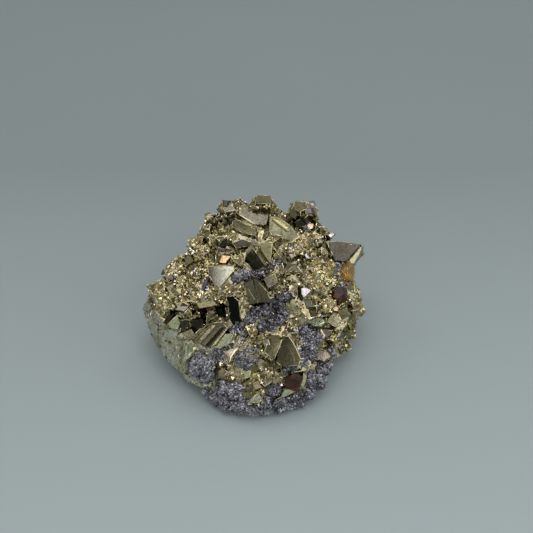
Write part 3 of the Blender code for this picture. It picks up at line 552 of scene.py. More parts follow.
def outline_gap(uv, corners):
    """Distance from each (u, v) to an outline, or zero inside it.

    A spot is inside when a line to its right crosses an odd number of edges.
    """
    start = np.asarray(corners, float)
    edge = np.roll(start, -1, axis=0) - start
    off = uv[:, None] - start
    share = np.clip((off * edge).sum(2) / (edge ** 2).sum(1), 0.0, 1.0)
    gap = np.linalg.norm(off - share[..., None] * edge, axis=2).min(axis=1)
    u, v = uv[:, :1], uv[:, 1:]
    spans = (start[:, 1] > v) != (start[:, 1] + edge[:, 1] > v)
    cross = start[:, 0] + edge[:, 0] * (v - start[:, 1]) / np.where(edge[:, 1] == 0.0, TINY, edge[:, 1])
    inside = (spans & (u < cross)).sum(axis=1) % 2 == 1
    return np.where(inside, 0.0, gap)


# ---------------------------------------------------------------- flat faces

# A face's bevel, its side's painted shade, its edge's and bevel's painted highlight, and how far apart the
# points of its outline lie.
EDGE = 0.20
SIDE_PAINTED_SHADE, EDGE_PAINTED_HIGHLIGHT, BEVEL_PAINTED_HIGHLIGHT = 0.75, 1.15, 1.35
OUTLINE_STEP = 0.9
# How alike two of the rock's normals must be, and where in an outline they are read.
PLANE_MATCH = 0.97
PLANE_RINGS = (0.0, 0.25, 0.5, 0.7)

# A growth stair: how far over its width and how high each spot of its profile lies, from the tread's foot
# over the lip to the drop.
STAIR_OVER = np.array((0.0, 0.84, 0.86, 0.95, 0.97))
STAIR_HIGH = (0.05, 0.55, 0.62, 0.60, 0.10)
# How many times the profile is repeated, its waver, and how far the stairs stand off the face and sink in.
STAIR_ROWS = 14
STAIR_WAVER = 0.05
STAIR_STAND, STAIR_SUNK = 0.12, 0.8


def broken_outline(rng, corners, spacing, shake):
    """The outline with points every `spacing` mm and each pushed sideways a little, corners kept."""
    points = []
    for start, end in zip(corners, np.roll(corners, -1, axis=0)):
        count = max(2, int(np.linalg.norm(end - start) / spacing))
        share = np.linspace(0.0, 1.0, count, endpoint=False)[:, None]
        run = start + (end - start) * share
        off = rng.normal(0.0, shake, (count, 1)) * (share > 0.0)
        side = unit(np.array((end[1] - start[1], start[0] - end[0])))
        points.append(run + off * side)
    return np.concatenate(points)


def blend(tone_and_painted_light, outline, share):
    """The tone at outline points drawn in to a share of their distance from the middle."""
    if isinstance(tone_and_painted_light, str):
        tone_and_painted_light = (tone_and_painted_light, 1.0)
    if len(tone_and_painted_light) == 2:
        return np.tile(np.array(TONES_AND_PAINTED_LIGHT[tone_and_painted_light[0]]) * tone_and_painted_light[1], (len(outline), 1))
    first, second, degrees = tone_and_painted_light
    way = np.array((math.cos(math.radians(degrees)), math.sin(math.radians(degrees))))
    place = (outline - outline.mean(axis=0)) @ way
    part = np.clip(0.5 + place * share / np.ptp(place), 0.0, 1.0)[:, None]
    return np.array(TONES_AND_PAINTED_LIGHT[first]) * (1.0 - part) + np.array(TONES_AND_PAINTED_LIGHT[second]) * part


def flat_face(rng, corners, spot, normal, tone_and_painted_light, depth=1.0, rise=0.16, flare=0.25, steps=0, shake=0.10):
    """A crystal face over an outline.

    The outline is carried to the plane through `spot` along the sight lines. Rings of it are loft round
    the middle: sunk below the rock, up to the edge, over a narrow bevel, then any growth steps, that shrink
    and shift towards one corner, and a small ring in the middle. The last ring and the first are closed
    flat. Each ring is (share of the outline's size, height, shift, glow), the glow being painted light: the
    side is darker as painted shade and the edge and bevel brighter as painted highlight.
    """
    outline = broken_outline(rng, np.asarray(corners, float), OUTLINE_STEP, shake)
    onto = onto_plane(outline, spot, normal)
    middle = onto.mean(axis=0)
    size = np.linalg.norm(onto - middle, axis=1).mean()
    bevel = EDGE / size
    rings = [(1.0 + flare * depth / size, -depth, 0.0, SIDE_PAINTED_SHADE), (1.0, rise - EDGE, 0.0, EDGE_PAINTED_HIGHLIGHT),
             (1.0 - bevel, rise, 0.0, BEVEL_PAINTED_HIGHLIGHT), (1.0 - 1.5 * bevel, rise, 0.0, 1.0)]
    toward = (onto[rng.integers(len(onto))] - middle) * 0.5
    share = 1.0 - 1.5 * bevel
    for _ in range(steps):
        share *= rng.uniform(0.60, 0.78)
        rise += rng.uniform(0.04, 0.08)
        shift = 0.8 * (1.0 - share)
        rings.append((share + 0.02, rise - 0.05, shift, 1.0))
        rings.append((share, rise, shift, 1.0 + rng.uniform(-0.10, 0.12)))
    rings.append((share * 0.5, rise + 0.01, rings[-1][2], rings[-1][3]))
    points = np.concatenate([middle + toward * shift + (onto - middle) * share + normal * lift
                             for share, lift, shift, _ in rings])
    tones = np.concatenate([blend(tone_and_painted_light, outline, share) * glow for share, _, _, glow in rings])
    corner_rows, counts = ring_faces(len(rings), len(outline))
    if np.cross(onto[1] - middle, onto[2] - middle) @ normal < 0.0:
        starts = np.concatenate(([0], np.cumsum(counts)))
        corner_rows = np.concatenate([corner_rows[a:b][::-1] for a, b in zip(starts, starts[1:])])
    return points, corner_rows, counts, np.clip(tones, 0.0, 1.0)


def growth_stairs(rng, corners, spot, normal, stairs):
    """Stairs across a flat face, carried straight along it.

    Across the face each stair is a tread that climbs a little, a lip painted bright as a highlight, and a
    short drop. Along it the profile is repeated at even spaces, with a small waver, and the whole is closed
    below the face. The treads are painted from light to dark across the face as painted reflection and shade.
    """
    corners = np.asarray(corners, float)
    along = np.linspace(0.0, 1.0, STAIR_ROWS)
    first = corners[0] + (corners[1] - corners[0]) * along[:, None]
    last = corners[3] + (corners[2] - corners[3]) * along[:, None]
    widths = rng.uniform(0.6, 1.4, stairs)
    begin = np.concatenate(([0.0], np.cumsum(widths)[:-1])) / widths.sum()
    across = (begin[:, None] + (widths / widths.sum())[:, None] * STAIR_OVER).ravel()
    high = np.tile(STAIR_HIGH, stairs) * np.repeat(rng.uniform(0.6, 1.2, stairs), len(STAIR_HIGH))
    # Painted reflection and shade: the treads run from light to dark, and the lips are pale as painted
    # highlights.
    light = np.linspace(4.4, 0.8, stairs) * rng.uniform(0.8, 1.2, stairs)
    tread = np.array(TONES_AND_PAINTED_LIGHT["dark_olive"]) * light[:, None]
    lip = np.array(TONES_AND_PAINTED_LIGHT["painted_highlight"])[None] * rng.uniform(0.25, 0.5, (stairs, 1))
    tone = np.stack((tread, tread * 1.3, lip, lip, tread), axis=1).reshape(-1, 3)
    waver = rng.normal(0.0, STAIR_WAVER, (len(along), len(across), 1))
    uv = (first[:, None] + (last - first)[:, None] * across[None, :, None] + waver).reshape(-1, 2)
    flat = onto_plane(uv, spot, normal)
    outer = flat + normal * (STAIR_STAND + np.tile(high, len(along)))[:, None]
    inner = flat - normal * STAIR_SUNK
    return closed_sheet(outer, inner, (len(along), len(across)), np.tile(tone, (len(along), 1)))


def rock_plane(corners, triangles, normals):
    """The plane of the rock's own face under an outline.

    Sight lines are sent through points inside it. The plane has the normal that most of them meet, and
    passes through the highest of those points.
    """
    corners = np.asarray(corners, float)
    middle = corners.mean(axis=0)
    uv = np.concatenate([middle + (corners - middle) * share for share in PLANE_RINGS])
    distance, row = sight_hits(uv, triangles)
    seen = np.isfinite(distance)
    spots = EYE + sight_lines(uv)[seen] * distance[seen, None]
    facing = normals[row[seen]]
    alike = facing @ facing.T > PLANE_MATCH
    best = int(alike.sum(axis=1).argmax())
    normal = unit(facing[alike[best]].mean(axis=0))
    spots = spots[alike[best]]
    return spots[int((spots @ normal).argmax())], normal


# ---------------------------------------------------------------- materials

WHITE = (1.0, 1.0, 1.0)
# The pale tint of the painted highlight along edges, and the tint of the faces between them.
EDGE_HIGHLIGHT_TINT = (1.0, 0.90, 0.62, 1.0)
FACE_TINT = (1.0, 1.0, 0.86, 1.0)


def link_nodes(tree, kind, inputs=None, **settings):
    """A node with its settings, and its sockets set to a value or linked to another node's output."""
    node = tree.nodes.new(kind)
    for key, value in settings.items():
        setattr(node, key, value)
    for key, value in (inputs or {}).items():
        if isinstance(value, bpy.types.NodeSocket):
            tree.links.new(value, node.inputs[key])
        else:
            node.inputs[key].default_value = value
    return node


def ramp(tree, factor, stops):
    """A colour ramp from (position, colour) stops."""
    node = link_nodes(tree, "ShaderNodeValToRGB", {"Fac": factor})
    elements = node.color_ramp.elements
    while len(elements) < len(stops):
        elements.new(0.5)
    for element, (position, colour) in zip(elements, stops):
        element.position = position
        element.color = (*colour, 1.0)
    return node.outputs["Color"]


def noise(tree, place, scale, detail=3.0, rough=0.55):
    """The value of a noise pattern at this many waves per metre."""
    node = link_nodes(tree, "ShaderNodeTexNoise", {"Vector": place, "Scale": scale, "Detail": detail,
                                                   "Roughness": rough})
    return node.outputs["Fac"]


def remap(tree, value, start, end, low=0.0, high=1.0):
    """A value between start and end moved to lie between low and high."""
    return link_nodes(tree, "ShaderNodeMapRange", {"Value": value, "From Min": start, "From Max": end,
                                                   "To Min": low, "To Max": high}).outputs["Result"]


def part_of(tree, way, axis):
    """One part of a vector."""
    return link_nodes(tree, "ShaderNodeSeparateXYZ", {"Vector": way}).outputs[axis]


def reckon(tree, operation, first, second):
    """Two values joined by one step of arithmetic."""
    return link_nodes(tree, "ShaderNodeMath", {0: first, 1: second}, operation=operation).outputs[0]


def mix(tree, first, second, factor=1.0, kind="MIX"):
    """Two colours mixed: none of the second where the factor is 0, all of it where it is 1."""
    return link_nodes(tree, "ShaderNodeMix", {"Factor": factor, 6: first, 7: second},
                      data_type="RGBA", blend_type=kind).outputs[2]


def times(tree, first, *others):
    """Colours multiplied."""
    for other in others:
        first = mix(tree, first, other, kind="MULTIPLY")
    return first


def tone_of(tree):
    """The tone that each point of a piece carries."""
    return link_nodes(tree, "ShaderNodeAttribute", attribute_name="tone").outputs["Color"]


def start_material(name, **plain):
    """A Principled material whose plain values sit on the shader's own sockets."""
    material = bpy.data.materials.new(name)
    material.use_nodes = True
    tree = material.node_tree
    shader = tree.nodes["Principled BSDF"]
    for key, value in plain.items():
        shader.inputs[key.replace("_", " ")].default_value = value
    place = tree.nodes.new("ShaderNodeTexCoord").outputs["Object"]
    return material, tree, shader, place


def surfaced(started, colour, polish, relief):
    """The material with its colour, a polish and a relief, each of the last two from a noise.

    The polish is (waves per metre, least and most roughness), the relief (strength, depth in metres,
    waves per metre, detail).
    """
    material, tree, shader, place = started
    tree.links.new(colour, shader.inputs["Base Color"])
    waves, least, most = polish
    uneven = remap(tree, noise(tree, place, waves, 2.0), 0.3, 0.7, least, most)
    tree.links.new(uneven, shader.inputs["Roughness"])
    strength, depth, waves, detail = relief
    bump = link_nodes(tree, "ShaderNodeBump", {"Strength": strength, "Distance": depth,
                                               "Height": noise(tree, place, waves, detail)})
    tree.links.new(bump.outputs["Normal"], shader.inputs["Normal"])
    return material


def painted_edge_highlights(tree, tone, low, high):
    """The tone with a painted highlight near a triangle's edges: its corner map's least share falls to zero
    there.
    """
    place = link_nodes(tree, "ShaderNodeUVMap", uv_map="corner_map").outputs["UV"]
    first, second = part_of(tree, place, "X"), part_of(tree, place, "Y")
    third = reckon(tree, "SUBTRACT", 1.0, reckon(tree, "ADD", first, second))
    least = reckon(tree, "MINIMUM", reckon(tree, "MINIMUM", first, second), third)
    lit = mix(tree, tone, EDGE_HIGHLIGHT_TINT, 0.55)
    return mix(tree, lit, times(tree, tone, FACE_TINT), remap(tree, least, low, high))


def mirror_metal(name, stain, fleck, polish, grain, bump, edge_highlights=False, streaks=False):
    """Brassy metal: the piece's tone, stained by two sizes of noise, with uneven polish and fine relief.

    Where asked, the edges of mapped triangles are painted bright as a highlight, or fine streaks run one way.
    """
    started = start_material(name, Metallic=1.0)
    _, tree, _, place = started
    tone = tone_of(tree)
    if edge_highlights:
        tone = painted_edge_highlights(tree, tone, 0.03, 0.09)
    if streaks:
        drawn = link_nodes(tree, "ShaderNodeMapping", {"Vector": place, "Scale": (1.0, 0.08, 0.08)})
        tone = times(tree, tone, ramp(tree, noise(tree, drawn.outputs["Vector"], 2200.0), (
            (0.36, (0.86, 0.86, 0.83)), (0.58, WHITE))))
    broad = ramp(tree, noise(tree, place, 160.0, 4.0), ((0.34, stain), (0.58, WHITE)))
    fine = ramp(tree, noise(tree, place, grain), ((0.30, fleck), (0.56, WHITE)))
    return surfaced(started, times(tree, tone, broad, fine), (420.0, *polish),
                    (bump, 0.0001, grain * 1.6, 4.0))


def rock_metal(name):
    """The rock's own crystals: each flat face has a tone of its own, stained and grained by noises, and
    darker than the tiny crystals, partly the rock's own dark olive and partly painted shade in the gaps
    between them.
    """
    started = start_material(name, Metallic=1.0)
    _, tree, _, place = started
    way = tree.nodes.new("ShaderNodeNewGeometry").outputs["True Normal"]
    step = link_nodes(tree, "ShaderNodeVectorMath", {0: way, 1: (0.04, 0.04, 0.04)}, operation="SNAP")
    lot = link_nodes(tree, "ShaderNodeTexWhiteNoise", {"Vector": step.outputs["Vector"]}).outputs["Value"]
    tone = ramp(tree, lot, ((0.0, (0.10, 0.095, 0.065)), (0.25, (0.24, 0.225, 0.14)),
                            (0.5, (0.38, 0.35, 0.23)), (0.8, (0.48, 0.45, 0.33)), (1.0, (0.58, 0.55, 0.44))))
    grime = ramp(tree, noise(tree, place, 420.0, 5.0, 0.65), (
        (0.34, (0.35, 0.34, 0.28)), (0.52, (0.85, 0.84, 0.78)), (0.66, WHITE)))
    return surfaced(started, times(tree, tone, grime), (700.0, 0.08, 0.26), (0.3, 0.0001, 1100.0, 5.0))


def wall_metal(name):
    """The bare wall: dull grey-green metal, speckled, with dark spots painted as the shade in pits, and a
    brown foot.
    """
    started = start_material(name, Metallic=0.9)
    _, tree, _, place = started
    broad = ramp(tree, noise(tree, place, 150.0, 5.0, 0.65), (
        (0.34, (0.38, 0.36, 0.24)), (0.46, (0.58, 0.58, 0.45)), (0.60, (0.66, 0.68, 0.56)),
        (0.72, (0.76, 0.74, 0.58))))
    speck = ramp(tree, noise(tree, place, 1400.0, 3.0, 0.7), ((0.37, (0.42, 0.41, 0.34)), (0.52, WHITE)))
    pit_shade = ramp(tree, noise(tree, place, 420.0, 4.0, 0.6), ((0.34, (0.12, 0.11, 0.09)), (0.40, WHITE)))
    foot = ramp(tree, remap(tree, part_of(tree, place, "Z"), 0.0, 0.006), (
        (0.0, (0.52, 0.42, 0.28)), (0.9, WHITE)))
    return surfaced(started, times(tree, broad, speck, pit_shade, foot), (500.0, 0.24, 0.46),
                    (0.5, 0.0003, 1100.0, 5.0))


def dark_mineral(name):
    """Lead-grey grains: metallic, mottled, with a finely broken surface."""
    started = start_material(name, Metallic=0.92)
    _, tree, _, place = started
    mottle = ramp(tree, noise(tree, place, 500.0, 4.0), ((0.30, (0.60, 0.60, 0.62)), (0.60, WHITE)))
    return surfaced(started, times(tree, tone_of(tree), mottle), (800.0, 0.14, 0.34),
                    (0.5, 0.0002, 1800.0, 3.0))


def dark_core(name):
    """The mass under the dark grains, darker than they are as painted shade in the gaps between them."""
    started = start_material(name, Metallic=0.55)
    _, tree, _, place = started
    colour = ramp(tree, noise(tree, place, 620.0, 5.0), (
        (0.32, (0.018, 0.018, 0.024)), (0.68, (0.085, 0.085, 0.11))))
    return surfaced(started, colour, (900.0, 0.40, 0.65), (1.0, 0.0004, 1100.0, 5.0))


def amber_glass(name, clear, soak, density, clearness, shine, mottle):
    """Resin-like crystal: light goes in, is soaked up on its way and comes out coloured.

    A noise makes its own colour darker and lighter by the mottle.
    """
    started = start_material(name, IOR=1.50, Transmission_Weight=clearness, Specular_IOR_Level=shine)
    _, tree, _, place = started
    colour = ramp(tree, noise(tree, place, 260.0), (
        (0.36, tuple(part / mottle for part in clear)), (0.52, clear),
        (0.66, tuple(min(1.0, mottle * part) for part in clear))))
    inner = link_nodes(tree, "ShaderNodeVolumeAbsorption", {"Color": (*soak, 1.0), "Density": density})
    tree.links.new(inner.outputs["Volume"], tree.nodes["Material Output"].inputs["Volume"])
    return surfaced(started, colour, (500.0, 0.05, 0.15), (0.14, 0.0002, 500.0, 3.0))


# ---------------------------------------------------------------- build

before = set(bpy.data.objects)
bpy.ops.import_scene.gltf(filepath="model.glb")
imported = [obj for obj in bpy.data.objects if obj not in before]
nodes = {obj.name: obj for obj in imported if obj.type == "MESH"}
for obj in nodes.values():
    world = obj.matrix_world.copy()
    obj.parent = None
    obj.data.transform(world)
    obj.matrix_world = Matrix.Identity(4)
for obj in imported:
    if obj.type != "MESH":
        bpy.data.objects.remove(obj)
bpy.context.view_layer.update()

POINT_METAL = ((0.62, 0.58, 0.44), (0.75, 0.74, 0.66), (0.05, 0.20), 900.0, 0.20)
POINTS = mirror_metal("pyrite_points", *POINT_METAL, edge_highlights=True)
LARGER = mirror_metal("pyrite_larger", *POINT_METAL)
PLATE = mirror_metal("pyrite_plates", (0.70, 0.70, 0.63), (0.52, 0.52, 0.46), (0.07, 0.19), 1300.0, 0.10,
                     streaks=True)
RIDGE = mirror_metal("pyrite_ridges", (0.80, 0.77, 0.66), (0.80, 0.78, 0.70), (0.12, 0.25), 900.0, 0.20)
ROCK = rock_metal("pyrite_rock")
WALL = wall_metal("pyrite_wall")
GRAIN = dark_mineral("dark_grain")
CORE = dark_core("dark_mass")
HONEY = amber_glass("honey_resin", (1.0, 0.70, 0.26), (0.99, 0.72, 0.27), 40.0, 0.76, 0.7, 1.3)
RED = amber_glass("red_brown_resin", (0.22, 0.075, 0.02), (0.62, 0.22, 0.05), 420.0, 0.85, 0.12, 1.8)

rock = node_triangles(nodes["pyrite_cluster"])
rock_triangles, rock_normals, _ = rock
DARK_NODES = sorted(name for name in nodes if name.startswith("dark_"))
AMBERS = (("honey_crystal", HONEY), ("red_crystal_right", RED), ("red_crystal_front", RED))

# How many spots are spread over the other minerals for each square mm, and over the whole rock.
NEIGHBOUR_SPOTS = 3.0
ROCK_SPOTS = 40000

rng = np.random.default_rng(SEED)
neighbour_spots = []
for name in DARK_NODES + [name for name, _ in AMBERS]:
    surface = node_triangles(nodes[name])
    neighbour_spots.append(pick_spots(rng, *surface, int(surface[2].sum() * NEIGHBOUR_SPOTS))[0])
neighbour_spots = np.concatenate(neighbour_spots)
rock_spots = pick_spots(rng, *rock, ROCK_SPOTS)[0]

for name, material in (("pyrite_cluster", ROCK), *((name, CORE) for name in DARK_NODES), *AMBERS):
    nodes[name].data.materials.clear()
    nodes[name].data.materials.append(material)

# Flat faces, large and small.
planes = {}
plates = []
for name, corners, tone_and_painted_light, steps in FACES:
    planes[name] = rock_plane(corners, rock_triangles, rock_normals)
    plates.append(flat_face(rng, corners, *planes[name], tone_and_painted_light, steps=steps))
plates.append(growth_stairs(rng, STAIR_CORNERS, *planes["striated_face"], STAIR_COUNT))
make_piece("display_faces", plates, PLATE)

all_triangles = np.concatenate([rock_triangles] + [node_triangles(nodes[name])[0] for name in DARK_NODES])
facets = []
for name, corners, tone_and_painted_light, stand, lean in FACETS:
    middle = np.asarray(corners, float).mean(axis=0)
    distance, _ = sight_hits(middle, all_triangles if name in OVER_GRAINS else rock_triangles)
    spot = EYE + sight_lines(middle)[0] * (distance[0] - stand)
    if isinstance(lean, str):
        normal = unit(unit(np.array(LAMPS[lean][0])) + unit(EYE - spot))
    else:
        normal = unit(TOWARD - RIGHT * lean[0] - UP * lean[1])
    planes[name] = (spot, normal)
    facets.append(flat_face(rng, corners, spot, normal, tone_and_painted_light, depth=2.2, rise=0.0, flare=0.35, shake=0.06))
make_piece("small_faces", facets, PLATE)


# A ridge's profile, as half_round takes it with the rise in half widths, and how wide its ends are left.
BAR_RISE, BAR_FOOT, BAR_SUNK = 0.75, 1.15, 0.8
BAR_TAPER = 0.35


def round_bar(points, facing, half_width, tone):
    """A bar with a half-round top along a path, its profile set across the path at each point.

    It narrows at both ends, and they are closed flat.
    """
    along = unit(np.gradient(points, axis=0))
    across = unit(np.cross(along, facing))
    wide, high = half_round(BAR_RISE * half_width, BAR_FOOT, BAR_SUNK)
    wide = wide * half_width
    taper = np.ones(len(points))
    taper[[0, -1]] = BAR_TAPER
    rings = (points[:, None] + across[:, None] * (wide[:, None] * taper[:, None, None])
             + facing[:, None] * high[:, None])
    return (rings.reshape(-1, 3), *ring_faces(len(points), len(wide), swapped=True),
            np.tile(tone, (len(points) * len(wide), 1)))


# Ridges: how far apart their points lie, how much they waver, and how deep they sit in a face or the rock.
RIDGE_STEP, RIDGE_WAVER = 0.7, 0.05
IN_FACE, IN_ROCK = 0.12, 0.8

bars = []
for name, owner, points, half_width, tone_and_painted_light in RIDGES:
    points = np.asarray(points, float)
    run = np.concatenate(([0.0], np.cumsum(np.linalg.norm(np.diff(points, axis=0), axis=1))))
    share = np.linspace(0.0, run[-1], max(4, int(run[-1] / RIDGE_STEP)))
    uv = np.column_stack([np.interp(share, run, points[:, axis]) for axis in (0, 1)])
    uv += rng.normal(0.0, RIDGE_WAVER, uv.shape)
    lines = sight_lines(uv)
    if owner:
        reach = plane_reach(lines, *planes[owner]) - IN_FACE
        facing = np.tile(planes[owner][1], (len(uv), 1))
    else:
        distance, row = sight_hits(uv, rock_triangles)
        near = np.minimum(distance, np.median(distance) + 1.0)
        thirds = [near[part].mean() for part in np.array_split(np.arange(len(near)), 3)]
        reach = np.interp(share, (0.0, run[-1] / 2, run[-1]), thirds) - IN_ROCK
        facing = np.tile(TOWARD, (len(uv), 1))
    bars.append(round_bar(EYE + lines * reach[:, None], facing, half_width, TONES_AND_PAINTED_LIGHT[tone_and_painted_light]))
make_piece("bright_ridges", bars, RIDGE, smooth=True)


# Beads on sharp edges: how far back a face must fall, how high above the underside an edge starts, the
# least angle and length of an edge, how far it lies from other minerals, the bead's profile as half_round
# takes it, and how much shorter it is than its edge at each end.
BEHIND = -1e-3
UNDERSIDE_EDGE = 1.0
BEAD_ANGLE, BEAD_SHORTEST, BEAD_CLEAR = 30.0, 1.2, 1.0
BEAD_PROFILE = (0.8, 1.4, 2.2)
BEAD_TRIM = 0.12


def sharp_edges(triangles, normals, least, shortest):
    """Edges where two flat faces of the rock meet outwards at a sharp angle.

    Triangle corners in the same place get one number, each edge is a pair of numbers, and two triangles
    share an edge when their pairs are equal. It is outward when one triangle's middle lies behind the other.
    """
    spots, number = np.unique(np.round(triangles.reshape(-1, 3), 3), axis=0, return_inverse=True)
    number = number.reshape(-1, 3)
    pairs = np.sort(np.concatenate([number[:, [0, 1]], number[:, [1, 2]], number[:, [2, 0]]]), axis=1)
    owner = np.tile(np.arange(len(number)), 3)
    code = pairs[:, 0] * len(spots) + pairs[:, 1]
    order = np.argsort(code, kind="stable")
    same = np.flatnonzero(code[order][1:] == code[order][:-1])
    first, second = order[same], order[same + 1]
    start, end = spots[pairs[first, 0]], spots[pairs[first, 1]]
    normal_a, normal_b = normals[owner[first]], normals[owner[second]]
    behind = ((triangles[owner[second]].mean(axis=1) - start) * normal_a).sum(axis=1) < BEHIND
    sharp = (normal_a * normal_b).sum(axis=1) < math.cos(math.radians(least))
    keep = behind & sharp & (np.linalg.norm(end - start, axis=1) > shortest) & (start[:, 2] > UNDERSIDE_EDGE)
    return start[keep], end[keep], unit(normal_a + normal_b)[keep]


def edge_beads(rng, half_width):
    """Slim rounded beads along the rock's sharp edges, each the same profile at both ends of its edge."""
    start, end, facing = sharp_edges(rock_triangles, rock_normals, BEAD_ANGLE, BEAD_SHORTEST)
    clear = nearest((start + end) / 2, neighbour_spots) > BEAD_CLEAR
    start, end, facing = start[clear], end[clear], facing[clear]
    wide = half_width * rng.uniform(0.6, 1.3, len(start))
    along = unit(end - start)
    across = np.cross(along, facing)
    side_way, up_way = half_round(*BEAD_PROFILE)
    profile = (across[:, None] * side_way[:, None] + facing[:, None] * up_way[:, None]) * wide[:, None, None]
    trim = along * BEAD_TRIM
    ends = np.stack(((start + trim)[:, None] + profile, (end - trim)[:, None] + profile), axis=1)
    corners, counts = ring_faces(2, len(side_way), swapped=True)
    each = 2 * len(side_way)
    corners = (corners[None] + np.arange(len(start))[:, None] * each).ravel()
    # The beads' tones are a painted highlight, pale and bright along each edge.
    tones = np.array(TONES_AND_PAINTED_LIGHT["painted_highlight"]) * rng.uniform(0.55, 1.0, (len(start), 1))
    return ends.reshape(-1, 3), corners, np.tile(counts, len(start)), np.repeat(tones, each, axis=0)


make_piece("edge_beads", [edge_beads(rng, 0.15)], RIDGE, smooth=True)

# Tiny crystals over the rock. Each flat face's outline keeps them a share of their size away.
GLINT_LAMPS = ("left", "right", "front", "back")
# Greyish pink tints so the glinting crystals' lamp glints come out pinkish white: a painted highlight colour.
GLINT_TINTS = np.array(((0.62, 0.55, 0.58), (0.60, 0.56, 0.47), (0.60, 0.58, 0.57)))
# The druse's tones: brass and olive ones, a dark one, and a pinkish white (the sixth) painted on some
# crystals as highlight colour.
PALETTE = np.array(((0.66, 0.60, 0.34), (0.58, 0.53, 0.29), (0.80, 0.74, 0.52), (0.48, 0.45, 0.26),
                    (0.60, 0.55, 0.48), (1.0, 0.88, 0.90), (0.24, 0.23, 0.14)))
PALETTE_SHARES = np.array((0.26, 0.22, 0.09, 0.14, 0.15, 0.09, 0.05))
ALL_OUTLINES = [(row[1], 0.15 if row[2] in ("black", "soot", "dark_olive") else 0.42)
                for row in FACES + FACETS if row[0] not in OVERGROWN]
# A crystal's half length in shares of its size, and the least height above the table to grow at.
TIP = 0.62
UNDERSIDE = 1.2

# The bare wall: its angles round the specimen, its least distance from the middle, and its heights.
BARE_ANGLES = (-171.0, -118.0)
BARE_RADIUS = 31.5
BARE_HEIGHTS = (2.6, 19.0)

# A spot counts as seen past the first eye share, and a spot below the second, either way, is seen edge on.
SEEN_FROM, EDGE_ON = 0.05, 0.20
# The share of crystals that grow where EYE doesn't look, and of those, the share that do on the bare wall.
GROWN_UNSEEN, GROWN_ON_WALL = 0.75, 0.10
# A crystal's stretch along each axis, and how far its middle lies off the rock in shares of its size, with
# how much deeper that is where it is seen edge on.
STRETCH = (0.75, 1.15)
MIDDLE_OFF = (-0.20, 0.08)
RIM_SINK = 0.25
# A glinting crystal's least eye share, how far its mirror face opens off the rock, and how far it stands.
GLINT_SEEN, GLINT_OPEN, GLINT_STAND = 0.15, 0.45, 0.45


def free_rock(spots, facing, size):
    """Spots that are off the underside, clear of the other minerals and not in front of a flat face."""
    ok = (spots[:, 2] > UNDERSIDE) & (nearest(spots, neighbour_spots) > 0.4 + 0.35 * size)
    uv = face_places(spots)
    hiding = np.zeros(len(spots), bool)
    for corners, close in ALL_OUTLINES:
        hiding |= outline_gap(uv, corners) < close * size
    return ok & ~(hiding & (facing @ TOWARD > -0.1))


def round_place(uv, u, v, radius):
    """1 at the middle of a round place on the display face, 0 at its border and below 0 past it."""
    return 1.0 - np.hypot(uv[:, 0] - u, uv[:, 1] - v) / radius


def crowding(spots):
    """How thickly tiny crystals grow at each spot, from 0 to 1: full in the crowds, thin elsewhere."""
    uv = face_places(spots)
    patchy = value_noise(spots, 5.0, SEED + 5)
    thick = np.full(len(spots), ELSEWHERE)
    for crowd in CROWDS:
        thick = np.maximum(thick, np.clip(round_place(uv, *crowd) * 3.0, 0.0, 1.0))
    return np.clip(thick + 0.35 * patchy, 0.05, 1.0)


def painted_shade_kept(spots):
    """How much of its tone a crystal keeps under the painted shade: less towards the middle of each shaded
    place.
    """
    uv = face_places(spots)
    kept = np.ones(len(spots))
    for u, v, radius, least in PAINTED_SHADE_SPOTS:
        kept *= 1.0 - (1.0 - least) * np.clip(1.6 * round_place(uv, u, v, radius), 0.0, 1.0)
    return kept


def bare_wall(spots):
    """Whether spots lie on the bare wall: a range of angles and heights with an uneven edge."""
    angle = np.degrees(np.arctan2(spots[:, 1], spots[:, 0]))
    edge = 5.0 * value_noise(spots, 3.0, SEED + 9)
    return ((angle > BARE_ANGLES[0] + edge) & (angle < BARE_ANGLES[1] + edge)
            & (np.hypot(spots[:, 0], spots[:, 1]) > BARE_RADIUS)
            & (spots[:, 2] < BARE_HEIGHTS[1] + 0.5 * edge) & (spots[:, 2] > BARE_HEIGHTS[0] + 0.4 * edge))


def grow_points(rng, name, count, smallest, largest, side, edge=None, shine=1.0):
    """Crystals spread by area over one side of the rock, mostly sunk, the larger ones rarer and duller.

    A tone is one of the palette's, times two sizes of noise, the shine given and the painted shade of the
    shaded places.
    The side is True for what EYE sees, False for the rest, and None for all but what it sees edge on.
    """
    spots, facing = pick_spots(rng, *rock, count)
    size = smallest + (largest - smallest) * rng.random(count) ** 2.0
    to_eye = eye_share(spots, facing)
    seen = to_eye > SEEN_FROM
    keep = free_rock(spots, facing, size) & ((np.abs(to_eye) > EDGE_ON) if side is None else (seen == side))
    chance = np.where(seen, crowding(spots), GROWN_UNSEEN) * np.where(bare_wall(spots), GROWN_ON_WALL, 1.0)
    keep &= rng.random(count) < chance
    spots, facing, size = spots[keep], facing[keep], size[keep]
    stretch = rng.uniform(*STRETCH, (len(spots), 3)) * size[:, None] * TIP
    tones = PALETTE[rng.choice(len(PALETTE), len(spots), p=PALETTE_SHARES)]
    patch = 1.0 + 0.90 * value_noise(spots, 5.0, SEED + 3) + 0.35 * value_noise(spots, 2.2, SEED + 4)
    tones = tones * np.clip(patch, 0.25, 1.7)[:, None] ** np.array((1.0, 0.97, 1.08))
    tones *= (shine * (1.18 - 0.45 * (size - smallest) / (largest - smallest)) * painted_shade_kept(spots))[:, None]
    rim = 1.0 - np.abs(to_eye[keep])
    centres = spots + facing * (size * (rng.uniform(*MIDDLE_OFF, len(spots)) - RIM_SINK * rim))[:, None]
    centres[:, 2] = np.maximum(centres[:, 2], size * 0.72 + 0.10)
    turns = random_turns(rng, len(spots))
    grown = copies(pyrite_habit(edge), centres, turns, stretch, np.clip(tones, 0.0, 1.0))
    make_piece(name, [grown], LARGER if edge else POINTS, mapped=not edge)


